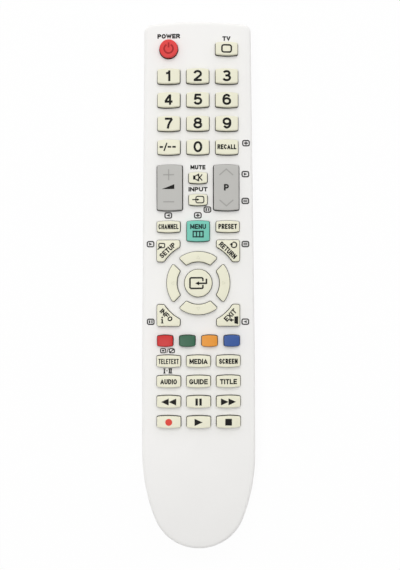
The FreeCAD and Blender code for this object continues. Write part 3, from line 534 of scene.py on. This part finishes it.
def make_skin(keys):
    """The upper case: crowned top with a lipped hole for each key, rounded rim and side wall."""
    bm = bmesh.new()
    rim = case_ring(RIM_RADIUS)
    holes = [outline(hole_growth(name) + LIP_RADIUS) for name, (outline, *_) in keys.items()]
    spans = [(min(p[0] for p in h), max(p[0] for p in h), min(p[1] for p in h), max(p[1] for p in h))
             for h in holes]
    bound = case_ring(RIM_RADIUS + SKIN_GRID / 2)
    round_names = ("up_key", "down_key", "left_key", "right_key", "tools_key", "return_key",
                   "info_key", "exit_key", "enter_key", "power_key")
    wider = [outline(KEY_CLEARANCE + LIP_RADIUS + ROUND_HOLE_MARGIN) if name in round_names else []
             for name, (outline, *_) in keys.items()]

    def keep_off(point):
        x, y = point
        near = any(a - HOLE_MARGIN < x < b + HOLE_MARGIN and c - HOLE_MARGIN < y < d + HOLE_MARGIN and
                   (not wide or inside(point, wide)) for (a, b, c, d), wide in zip(spans, wider))
        return near or not inside(point, bound)

    points = grid_points(rim, SKIN_GRID, keep_off)
    add_sheet(bm, rim, holes, points, lambda x, y: (x, y, top_height(x, y)))
    for name, (outline, *_) in keys.items():
        add_hole(bm, outline, hole_growth(name))
    add_side(bm)
    skin = new_moulding("case_skin", bm, "case", [CASE, PAINTED_SHADE])
    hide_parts("top_case")


def make_key(name, outline, centre, reach, finish):
    """A key with rounded edges, a slightly domed top and the flange that keeps it in. Its skirt low down and
    its flange are in painted shade.
    """
    bm = bmesh.new()
    surface = key_surface(centre, reach)
    levels = [(-inset, lambda x, y, drop=drop: surface(x, y) - drop)
              for inset, drop in round_over(KEY_EDGE, 5)]
    low, high = FLANGE_Z
    levels += [(0.0, lambda x, y: top_height(x, y) + PAINTED_SHADE_RISE), (0.0, lambda x, y: high),
               (FLANGE_LIP, lambda x, y: high), (FLANGE_LIP, lambda x, y: low)]
    count = len(levels)
    rings = add_rings(bm, outline, levels, painted_shade_bands=range(count - 4, count))
    bm.faces.new(rings[-1]).material_index = 1
    cap = outline(-KEY_EDGE)
    bound = outline(-KEY_EDGE - CAP_MARGIN)
    points = grid_points(cap, CAP_GRID, lambda p: not inside(p, bound))
    add_sheet(bm, cap, [], points, lambda x, y: (x, y, surface(x, y)))
    piece = new_moulding(name + "_cap", bm, name + "_body", [finish, PAINTED_SHADE])
    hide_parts(name)


keys = make_keys()
make_skin(keys)
for key_name, (outline, centre, reach, finish) in keys.items():
    make_key(key_name, outline, centre, reach, finish)


# Marks: each is (points, width, closed) for a stroke, or (points, 0, True) for a filled patch

def stroke(points, width=ICON_STROKE, closed=False):
    return points, width, closed


def patch(points):
    return points, 0, True


def curve(cx, cy, rx, ry, start, end, count=16):
    """Points along an ellipse between two angles in degrees."""
    return [(cx + rx * cos(radians(a)), cy + ry * sin(radians(a))) for a in spread(start, end, count)]


def rounded(width, height, radius):
    """A rounded rectangle about the origin."""
    x, y = width / 2 - radius, height / 2 - radius
    corners = ((x, y, 0), (-x, y, 90), (-x, -y, 180), (x, -y, 270))
    return [p for cx, cy, a in corners for p in curve(cx, cy, radius, radius, a, a + 90, 4)]


def box_points(width, height):
    x, y = width / 2, height / 2
    return [(x, y), (-x, y), (-x, -y), (x, -y)]


def moved(marks, dx, dy=0.0, turn=0.0):
    """Marks turned by turn degrees and then shifted."""
    c, s = cos(radians(turn)), sin(radians(turn))
    return [([(dx + x * c - y * s, dy + x * s + y * c) for x, y in points], width, closed)
            for points, width, closed in marks]


BOWL = [(0, 1), (0.5, 1)] + curve(0.5, 0.74, 0.5, 0.26, 75, -75, 8) + [(0.5, 0.48), (0, 0.48)]

# Letters: the share of a letter's width, then the strokes in a unit box
LETTERS = {
    "A": (1.15, [[(0, 0), (0.5, 0.93), (1, 0)], [(0.22, 0.26), (0.78, 0.26)]]),
    "C": (1.0, [curve(0.5, 0.5, 0.5, 0.5, 48, 312)]),
    "D": (1.0, [[(0, 0), (0, 1), (0.4, 1)] + curve(0.4, 0.5, 0.6, 0.5, 75, -75, 12) + [(0.4, 0), (0, 0)]]),
    "E": (0.85, [[(1, 1), (0, 1), (0, 0), (1, 0)], [(0, 0.5), (0.85, 0.5)]]),
    "F": (0.85, [[(1, 1), (0, 1), (0, 0)], [(0, 0.5), (0.8, 0.5)]]),
    "G": (1.0, [curve(0.5, 0.5, 0.5, 0.5, 48, 345) + [(1, 0.44), (0.62, 0.44)]]),
    "H": (1.0, [[(0, 0), (0, 1)], [(1, 0), (1, 1)], [(0, 0.5), (1, 0.5)]]),
    "I": (0.0, [[(0, 0), (0, 1)]]),
    "L": (0.8, [[(0, 1), (0, 0), (1, 0)]]),
    "M": (1.3, [[(0, 0), (0, 1)], [(1, 0), (1, 1)], [(0.1, 0.86), (0.5, 0.2), (0.9, 0.86)]]),
    "N": (1.0, [[(0, 0), (0, 1)], [(1, 0), (1, 1)], [(0.08, 0.88), (0.92, 0.12)]]),
    "O": (1.1, [curve(0.5, 0.5, 0.5, 0.5, 0, 360, 20)]),
    "P": (0.95, [[(0, 0), (0, 1)], BOWL]),
    "R": (1.0, [[(0, 0), (0, 1)], BOWL, [(0.55, 0.44), (0.98, 0.02)]]),
    "S": (0.95, [curve(0.5, 0.745, 0.48, 0.255, 25, 265) + curve(0.5, 0.255, 0.5, 0.255, 85, -155)]),
    "T": (0.95, [[(0, 1), (1, 1)], [(0.5, 1), (0.5, 0)]]),
    "U": (1.0, [[(0, 1), (0, 0.4)] + curve(0.5, 0.35, 0.5, 0.35, 190, 350, 10) + [(1, 0.4), (1, 1)]]),
    "V": (1.1, [[(0, 1), (0.5, 0.07), (1, 1)]]),
    "W": (1.6, [[(0, 1), (0.25, 0.07), (0.5, 0.9), (0.75, 0.07), (1, 1)]]),
    "X": (1.0, [[(0.03, 0), (0.97, 1)], [(0.03, 1), (0.97, 0)]]),
}


def longer(points, reach):
    """An open line made longer at both ends by reach."""
    def end(last, near):
        length = hypot(last[0] - near[0], last[1] - near[1])
        return tuple(a + (a - b) * reach / length for a, b in zip(last, near))
    return [end(points[0], points[1])] + points[1:-1] + [end(points[-1], points[-2])]


def word(text, width, height, weight=WORD_STROKE):
    """The letters of a word as strokes, in a box about the origin."""
    gap = weight + LETTER_SPACE
    shares = [LETTERS[letter][0] for letter in text]
    unit = (width - weight - gap * (len(text) - 1)) / sum(shares)
    marks, x = [], (weight - width) / 2
    for letter, share in zip(text, shares):
        for line in LETTERS[letter][1]:
            points = [(x + px * share * unit, (py - 0.5) * (height - weight)) for px, py in line]
            closed = line[0] == line[-1]
            marks.append(stroke(points if closed else longer(points, weight / 2), weight, closed))
        x += share * unit + gap
    return marks


def digit(number):
    """The strokes of a digit, in the box of its skeleton about the origin."""
    six = [curve(0.5, 0.31, 0.48, 0.31, 0, 360, 24), curve(0.5, 0.5, 0.49, 0.5, 38, 200)]
    lines = {
        0: [curve(0.5, 0.5, 0.48, 0.5, 0, 360, 28)],
        1: [[(0.6, -0.1), (0.6, 1.1)], [(0.6, 0.96), (0.46, 0.82), (0.12, 0.78)]],
        2: [curve(0.5, 0.7, 0.46, 0.3, 170, -32) + [(0.42, 0.24), (0.12, 0.05)],
            [(-0.08, 0.0), (1.08, 0.0)], [(0.2, 0.12), (0.04, -0.02)]],
        3: [curve(0.48, 0.76, 0.41, 0.24, 160, -80), curve(0.48, 0.27, 0.49, 0.27, 82, -160),
            [(0.3, 0.52), (0.6, 0.52)]],
        4: [[(0.7, -0.1), (0.7, 1.06)], [(0.66, 1.0), (0.02, 0.3)], [(-0.08, 0.26), (1.06, 0.26)]],
        5: [[(0.98, 1.0), (0.12, 1.0)], [(0.21, 1.06), (0.1, 0.44)],
            curve(0.5, 0.32, 0.49, 0.32, 148, -160)],
        6: six,
        7: [[(-0.06, 1.0), (1.0, 1.0)], [(0.98, 0.98), (0.62, 0.56), (0.43, 0.22), (0.37, -0.1)]],
        8: [curve(0.5, 0.765, 0.41, 0.235, 0, 360, 24), curve(0.5, 0.27, 0.49, 0.27, 0, 360, 24)],
        9: [[(1 - x, 1 - y) for x, y in line] for line in six],
    }[number]
    wide, high = DIGIT_SPAN
    return [stroke([((x - 0.5) * wide, (y - 0.5) * high) for x, y in line], DIGIT_STROKE,
                   line[0] == line[-1]) for line in lines]


def letter_p():
    """The P of a programme rocker: a stem and a bowl."""
    bowl = [(-0.62, 1.0), (0.1, 1.0)] + curve(0.1, 0.4, 0.62, 0.6, 80, -80, 10) + [(0.1, -0.2), (-0.62, -0.2)]
    return [stroke([(-0.62, -1.3), (-0.62, 1.3)], 0.66), stroke(bowl, 0.6)]


def power_mark():
    return [stroke(curve(0, -0.15, 1.78, 1.78, 118, 422, 28), 0.66), stroke([(0, 0.3), (0, 2.35)], 0.66)]


def screen_mark():
    return [stroke(rounded(3.75, 2.85, 0.8), 0.6, True)]


def two_digit_mark():
    dashes = [patch([(x + dx, y) for dx, y in box_points(1.4, 0.7)]) for x in (-2.6, 0.65, 2.5)]
    return dashes + [stroke([(-1.55, -1.65), (-0.35, 1.65)], 0.52)]


def speaker_mark():
    body = [(-1.75, 0.62), (-1.0, 0.62), (0.3, 1.4), (0.3, -1.4), (-1.0, -0.62), (-1.75, -0.62)]
    return [stroke(body, FINE_STROKE, True), patch(body[:2] + body[4:]),
            stroke([(-0.35, 1.25), (1.7, -1.25)], 0.42), stroke([(-0.35, -1.25), (1.7, 1.25)], 0.42)]


def input_mark():
    return moved([stroke(rounded(3.15, 2.6, 0.7), 0.42, True)], 0.75) + [
        stroke([(-2.3, 0), (0.1, 0)], 0.4), patch([(0.55, 0), (-0.35, 0.5), (-0.35, -0.5)])]


def grid_mark():
    wide, high, bar = 4.45, 2.7, 0.52
    bars = [patch([(x + dx, y) for dx, y in box_points(bar, high)])
            for x in spread(bar / 2 - wide / 2, wide / 2 - bar / 2, 3)]
    rails = [patch([(dx, y + dy) for dx, dy in box_points(wide, bar)])
             for y in (bar / 2 - high / 2, high / 2 - bar / 2)]
    return bars + rails


def wedge_mark():
    return [patch([(-2.55, -0.9), (2.5, -0.85), (2.5, 1.05)])]


def minus_mark():
    return [stroke([(-SIGN_ARM, 0), (SIGN_ARM, 0)], 0.46)]


def plus_mark():
    return minus_mark() + moved(minus_mark(), 0, turn=90)


def chevron_mark(way):
    return [stroke([(-2.75, -1.2 * way), (0, 1.2 * way), (2.75, -1.2 * way)], 0.48)]


def enter_mark():
    frame_top = [(2.15, 0.75), (2.15, 1.75), (1.8, 2.1), (-2.6, 2.1), (-3.0, 1.75), (-3.0, 0)]
    frame_low = [(x, -y) for x, y in frame_top]
    return moved([stroke(frame_top, 0.62), stroke(frame_low, 0.62)], -0.3) + [
        stroke([(-0.2, -0.1), (3.25, -0.1), (3.25, 1.75)], 0.62),
        patch([(-1.2, -0.1), (0.35, 0.7), (0.35, -0.9)])]


def back_mark():
    return [stroke(curve(0, 0, 1.1, 1.1, -200, 110, 20), 0.46),
            patch([(-1.75, 0.2), (-0.45, 1.1), (-0.5, -0.35)])]


def setup_mark():
    return [stroke(rounded(2.3, 1.7, 0.45), 0.42, True), stroke([(-1.7, -1.6), (-0.4, -0.6)], 0.42),
            patch([(0.1, -0.1), (-1.05, -0.4), (-0.3, -1.2)])]


def info_mark():
    return [patch([(x, y + 0.95) for x, y in curve(0, 0, 0.34, 0.34, 0, 345, 15)]),
            stroke([(0, 0.35), (0, -1.25)], 0.55), stroke([(-0.45, 0.2), (0, 0.2)], 0.36),
            stroke([(-0.5, -1.2), (0.5, -1.2)], 0.36)]


def exit_mark():
    return [patch([(0.1, -1.25), (1.6, -1.7), (1.6, 1.5), (0.1, 1.35)]),
            stroke([(-1.8, 0), (-0.2, 0)], 0.52), patch([(-2.0, 0), (-0.9, 0.75), (-0.9, -0.75)])]


def triangle_mark(size, way):
    """A solid triangle that points along way times X."""
    x, y = size[0] / 2 * way, size[1] / 2
    return [patch([(x, 0), (-x, y), (-x, -y)])]


def faint_arrow():
    """The outline of a small triangle that points along X."""
    return [stroke([(0.55, 0), (-0.55, 0.65), (-0.55, -0.65)], 0.16, True)]


def twin_triangles(way):
    return moved(triangle_mark((3.0, 2.75), way), -1.5) + moved(triangle_mark((3.0, 2.75), way), 1.5)


def pause_mark():
    bar = [patch(box_points(0.95, 2.75))]
    return moved(bar, -0.78) + moved(bar, 0.78)


def dot_mark():
    return [patch(curve(0, 0, 1.38, 1.38, 0, 348, 29))]


def page_mark(number):
    """A little page with one of five signs on it."""
    signs = [
        [stroke([(-0.75, 0), (0.75, 0)], 0.55), stroke([(0, -0.6), (0, 0.6)], 0.55)],
        [patch([(-0.6, 0.6), (-0.6, -0.6), (0.75, 0)])],
        [stroke([(-0.8, 0.3), (0.8, 0.3)], 0.38), stroke([(-0.8, -0.3), (0.8, -0.3)], 0.38)],
        [stroke([(-0.45, -0.6), (-0.45, 0.6)], 0.6), stroke([(0.5, -0.6), (0.5, 0.6)], 0.5)],
        [patch([(0.6, 0.6), (0.6, -0.6), (-0.75, 0)])],
    ]
    return [stroke(rounded(2.65, 2.1, 0.62), 0.5, True)] + signs[number % len(signs)]


def subtitle_pages():
    """Two pages with a slash between them."""
    left = moved([stroke(rounded(2.1, 1.65, 0.5), 0.4, True), stroke([(-0.5, 0), (0.5, 0)], 0.6)], -1.75)
    right = moved([stroke(rounded(2.1, 1.65, 0.5), 0.4, True), stroke([(-0.8, -0.6), (0.8, 0.6)], 0.4)], 1.75)
    return left + right + [stroke([(-0.3, -0.95), (0.3, 0.95)], 0.3)]


def two_sound_mark():
    def beam(x):
        return [stroke([(x, -0.85), (x, 0.85)], 0.5)]

    def serifs(x, half):
        return [stroke([(x - half, y), (x + half, y)], 0.34) for y in (-0.87, 0.87)]
    return (beam(-1.3) + serifs(-1.3, 0.42) + beam(0.75) + beam(1.4) + serifs(1.08, 0.72)
            + [patch(curve(-0.3, 0, 0.26, 0.26, 0, 330, 11))])


# Printing the marks

def fine_points(points, closed):
    """The points with more between them, so that a stroke follows a curved surface."""
    ends = points[1:] + points[:1] if closed else points[1:]
    result = []
    for (ax, ay), (bx, by) in zip(points, ends):
        count = ceil(max(hypot(bx - ax, by - ay), 1e-6) / STROKE_STEP)
        result += [(ax + (bx - ax) * k / count, ay + (by - ay) * k / count) for k in range(count)]
    return result if closed else result + [points[-1]]


def stroke_rails(points, width, closed):
    """Left and right edges of a stroke with mitred turns."""
    points = [Vector(p) for p in fine_points(points, closed)]
    count = len(points)
    rails = []
    for i, point in enumerate(points):
        back = point - points[i - 1] if closed or i else points[1] - point
        ahead = points[(i + 1) % count] - point if closed or i < count - 1 else back
        turn = back.normalized() + ahead.normalized()
        normal = Vector((-turn.y, turn.x)).normalized()
        side = Vector((-back.y, back.x)).normalized()
        reach = width / 2 / max(0.55, normal.dot(side))
        rails.append((point + normal * reach, point - normal * reach))
    return rails


def print_marks(name, body, ink, marks, surface):
    """One thin piece for marks in the plan of the remote, laid on a surface."""
    bm = bmesh.new()

    def lay(point):
        return bm.verts.new((point[0], point[1], surface(point[0], point[1]) + PRINT_LIFT))

    for points, width, closed in marks:
        if width:
            if closed and points[0] == points[-1]:
                points = points[:-1]
            rails = [(lay(a), lay(b)) for a, b in stroke_rails(points, width, closed)]
            for (a, b), (c, d) in zip(rails, rails[1:] + rails[:1] if closed else rails[1:]):
                bm.faces.new((a, b, d, c))
        else:
            bm.faces.new([lay(p) for p in points])
    for face in bm.faces:
        face.normal_update()
        if face.normal.z < 0:
            face.normal_flip()
    new_piece(name, bm, body, [ink])


def print_on_key(name, marks, ink=INK, at=(0.0, 0.0), turn=0.0, part="print"):
    _, centre, reach, _ = keys[name]
    placed = moved(marks, centre[0] + at[0], centre[1] + at[1], turn)
    print_marks(name + "_" + part, name + "_body", ink, placed, key_surface(centre, reach))


def print_by_key(name, key, marks, at, ink=INK):
    """Marks on the case, placed from the centre of a key."""
    centre = keys[key][1]
    print_marks(name, "case", ink, moved(marks, centre[0] + at[0], centre[1] + at[1]), top_height)


def print_keys():
    for number in range(10):
        print_on_key("digit_%d_key" % number, digit(number))
    print_on_key("power_key", power_mark(), DARK_RED)
    print_on_key("tv_key", screen_mark(), at=(0.0, -0.15))
    print_on_key("two_digit_key", two_digit_mark(), at=(-0.4, 0.0))
    print_on_key("previous_channel_key", word("RECALL", 7.6, 1.95))
    print_on_key("mute_key", speaker_mark())
    print_on_key("source_key", input_mark())
    print_on_key("volume_rocker", wedge_mark(), at=(-0.65, 0.25))
    print_on_key("volume_rocker", moved(plus_mark(), -0.4, 5.1) + moved(minus_mark(), -0.4, -5.7),
                 ROCKER_RELIEF_SHADE, part="signs")
    print_on_key("channel_rocker", letter_p())
    print_on_key("channel_rocker", moved(chevron_mark(1), 0, 6.1) + moved(chevron_mark(-1), 0, -6.2),
                 ROCKER_RELIEF_SHADE, part="signs")
    print_on_key("channel_list_key", word("CHANNEL", 8.0, 2.05, 0.4))
    print_on_key("favourites_key", word("PRESET", 7.4, 2.05))
    print_on_key("menu_key", word("MENU", 6.3, 2.0), DARK_TEAL, (0.0, 1.75))
    print_on_key("menu_key", grid_mark(), DARK_TEAL, (0.0, -1.25), part="grid")
    print_on_key("enter_key", enter_mark())
    for name, turn in (("up_key", 90), ("left_key", 180), ("down_key", 270), ("right_key", 0)):
        print_on_key(name, faint_arrow(), KEY_RELIEF_SHADE, turn=turn)
    lower = {"teletext_key": ("TELETEXT", 8.1), "media_key": ("MEDIA", 7.2),
             "picture_size_key": ("SCREEN", 7.4), "dual_key": ("AUDIO", 6.6), "guide_key": ("GUIDE", 7.4),
             "subtitle_key": ("TITLE", 6.8)}
    for name, (text, width) in lower.items():
        print_on_key(name, word(text, width, 2.05, WORD_STROKE if len(text) < 8 else 0.36))
    print_on_key("rewind_key", twin_triangles(-1))
    print_on_key("pause_key", pause_mark())
    print_on_key("forward_key", twin_triangles(1))
    print_on_key("record_key", dot_mark(), RECORD_RED)
    print_on_key("play_key", triangle_mark((3.25, 2.9), 1))
    print_on_key("stop_key", [patch(box_points(2.65, 2.65))])


def print_corners():
    """The words and signs of the four keys at the corners of the ring."""
    words = {"tools_key": ("SETUP", 7.6, (-12.2, 13.05), 42, setup_mark(), (-14.5, 15.0)),
             "return_key": ("RETURN", 8.4, (11.85, 13.05), -43, back_mark(), (14.25, 15.2)),
             "info_key": ("INFO", 5.9, (-12.75, -12.75), -45, info_mark(), (-14.4, -14.65)),
             "exit_key": ("EXIT", 5.8, (12.75, -12.75), 45, exit_mark(), (14.25, -14.75))}
    for name, (text, width, place, turn, sign, sign_place) in words.items():
        centre = keys[name][1]
        at = (place[0] - centre[0], place[1] + RING_Y - centre[1])
        print_on_key(name, word(text, width, 2.05), at=at, turn=turn)
        at = (sign_place[0] - centre[0], sign_place[1] + RING_Y - centre[1])
        print_on_key(name, sign, at=at, part="sign")


def print_case():
    print_by_key("power_word", "power_key", word("POWER", 9.1, 1.85, 0.5), (0.0, 5.4))
    print_by_key("tv_word", "tv_key", word("TV", 3.2, 1.85, 0.5), (0.0, 4.4))
    print_by_key("mute_word", "mute_key", word("MUTE", 6.0, 1.75, 0.46), (0.0, 4.4))
    print_by_key("input_word", "source_key", word("INPUT", 7.6, 1.75, 0.46), (0.0, 4.35))
    print_by_key("page_words", "teletext_key", subtitle_pages(), (-0.5, 4.1))
    print_by_key("sound_sign", "dual_key", two_sound_mark(), (-0.45, 4.1))
    places = (("previous_channel_key", 7.75, 1.85), ("channel_rocker", 7.75, 5.6),
              ("channel_rocker", 7.7, -5.2), ("source_key", 3.75, -3.8), ("channel_list_key", -0.15, 4.6),
              ("menu_key", -0.1, 6.4), ("tools_key", -6.9, 2.5), ("return_key", 6.75, 2.45),
              ("info_key", -6.9, -2.3), ("exit_key", 6.6, -2.35))
    for number, (key, dx, dy) in enumerate(places):
        print_by_key("page_sign_%d" % number, key, page_mark(number), (dx, dy), GREY_INK)


print_keys()
print_corners()
print_case()


# Finishes of the CAD pieces that show as they are

INNER = {"bottom_case": CASE, "battery_cover": CASE,
         "contact_membrane": material("membrane_rubber", srgb(70, 72, 74), 0.7, bump=0.3),
         "circuit_board": material("board_laminate", srgb(38, 92, 52), 0.45),
         "infrared_emitter": material("emitter_lens", srgb(40, 30, 52), 0.12, coat=0.6),
         "controller_chip": material("chip_epoxy", srgb(30, 30, 32), 0.6),
         "resonator": material("resonator_dip", srgb(190, 130, 50), 0.4),
         "capacitor": material("capacitor_can", srgb(170, 172, 176), 0.3),
         "battery_left": material("cell_jacket", srgb(88, 128, 98), 0.3),
         "battery_contacts": material("contact_plating", srgb(200, 200, 196), 0.25)}
INNER["battery_right"] = INNER["battery_left"]
INNER["battery_contacts"].node_tree.nodes["Principled BSDF"].inputs["Metallic"].default_value = 1.0
INNER["capacitor"].node_tree.nodes["Principled BSDF"].inputs["Metallic"].default_value = 1.0

for name, finish in INNER.items():
    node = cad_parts[name]
    node.data.materials.clear()
    node.data.materials.append(finish)
for name in ("bottom_case", "battery_cover"):
    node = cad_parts[name]
    for face in node.data.polygons:
        face.use_smooth = True
    weld = node.modifiers.new("weld", "WELD")
    weld.merge_threshold = WELD_DISTANCE * MM
    split = node.modifiers.new("creases", "EDGE_SPLIT")
    split.split_angle = CREASE_ANGLE
    node.modifiers.new("even", "WEIGHTED_NORMAL")


# Floor, light and camera

def add_math(tree, operation, *values):
    """A math node whose inputs are numbers or other nodes' outputs. The result is its output."""
    made = tree.nodes.new("ShaderNodeMath")
    made.operation = operation
    for socket, value in zip(made.inputs, values):
        if isinstance(value, bpy.types.NodeSocket):
            tree.links.new(value, socket)
        else:
            socket.default_value = value
    return made.outputs[0]


def make_floor():
    mesh = bpy.data.meshes.new("floor")
    bm = bmesh.new()
    bmesh.ops.create_grid(bm, x_segments=1, y_segments=1, size=FLOOR_HALF)
    bm.to_mesh(mesh)
    bm.free()
    floor = bpy.data.objects.new("floor", mesh)
    bpy.context.collection.objects.link(floor)
    made = bpy.data.materials.new("floor_white")
    made.use_nodes = True
    nodes, links = made.node_tree.nodes, made.node_tree.links
    shader = nodes["Principled BSDF"]
    shader.inputs["Base Color"].default_value = (FLOOR_SHADE, FLOOR_SHADE, FLOOR_SHADE, 1)
    shader.inputs["Roughness"].default_value = 0.9
    glow = nodes.new("ShaderNodeEmission")
    glow.inputs["Color"].default_value = (1, 1, 1, 1)
    rays = nodes.new("ShaderNodeLightPath").outputs
    seen = add_math(made.node_tree, "MAXIMUM", rays["Is Camera Ray"], rays["Is Glossy Ray"])
    seen = add_math(made.node_tree, "MAXIMUM", seen, rays["Is Transmission Ray"])
    mix = nodes.new("ShaderNodeMixShader")
    links.new(add_math(made.node_tree, "MULTIPLY", seen, FLOOR_GLOW), mix.inputs["Fac"])
    links.new(shader.outputs["BSDF"], mix.inputs[1])
    links.new(glow.outputs["Emission"], mix.inputs[2])
    links.new(mix.outputs["Shader"], nodes["Material Output"].inputs["Surface"])
    mesh.materials.append(made)


def make_lamp(name, place, size, power):
    """A soft square lamp that faces the middle of the remote."""
    data = bpy.data.lights.new(name, "AREA")
    data.size = size
    data.energy = power
    lamp = bpy.data.objects.new(name, data)
    lamp.location = place
    lamp.rotation_euler = (-Vector(place)).to_track_quat("-Z", "Y").to_euler()
    bpy.context.collection.objects.link(lamp)


def make_world():
    """A room that is brighter on the head's side and low down."""
    world = bpy.data.worlds.new("studio")
    bpy.context.scene.world = world
    world.use_nodes = True
    tree = world.node_tree
    nodes, links = tree.nodes, tree.links
    room = nodes["Background"]
    room.inputs["Color"].default_value = (1, 1, 1, 1)
    way = nodes.new("ShaderNodeTexCoord")
    split = nodes.new("ShaderNodeSeparateXYZ")
    links.new(way.outputs["Generated"], split.inputs["Vector"])
    level = add_math(tree, "MULTIPLY_ADD", split.outputs["Y"], ROOM_TO_HEAD, ROOM_HORIZON)
    level = add_math(tree, "MULTIPLY_ADD", split.outputs["Z"], ROOM_ZENITH - ROOM_HORIZON, level)
    links.new(add_math(tree, "MULTIPLY", level, ROOM_STRENGTH), room.inputs["Strength"])
    white = nodes.new("ShaderNodeBackground")
    white.inputs["Color"].default_value = (1, 1, 1, 1)
    rays = nodes.new("ShaderNodeLightPath")
    mix = nodes.new("ShaderNodeMixShader")
    links.new(rays.outputs["Is Camera Ray"], mix.inputs["Fac"])
    links.new(room.outputs["Background"], mix.inputs[1])
    links.new(white.outputs["Background"], mix.inputs[2])
    links.new(mix.outputs["Shader"], nodes["World Output"].inputs["Surface"])


def make_camera():
    data = bpy.data.cameras.new("camera")
    data.sensor_width = SENSOR
    data.lens = SENSOR * CAMERA_DISTANCE / (PICTURE_HEIGHT * MM_PER_PIXEL)
    data.clip_start = CLIP_START
    camera = bpy.data.objects.new("camera", data)
    camera.location = (CAMERA_PLACE[0] * MM, CAMERA_PLACE[1] * MM, (OUTLINE_Z + CAMERA_DISTANCE) * MM)
    camera.rotation_euler = (0, 0, CAMERA_TURN)
    bpy.context.collection.objects.link(camera)
    bpy.context.scene.camera = camera


make_floor()
make_lamp("lamp_head", *LAMP_HEAD)
make_lamp("lamp_side", *LAMP_SIDE)
make_world()
make_camera()
bpy.context.scene.view_settings.view_transform = "Standard"
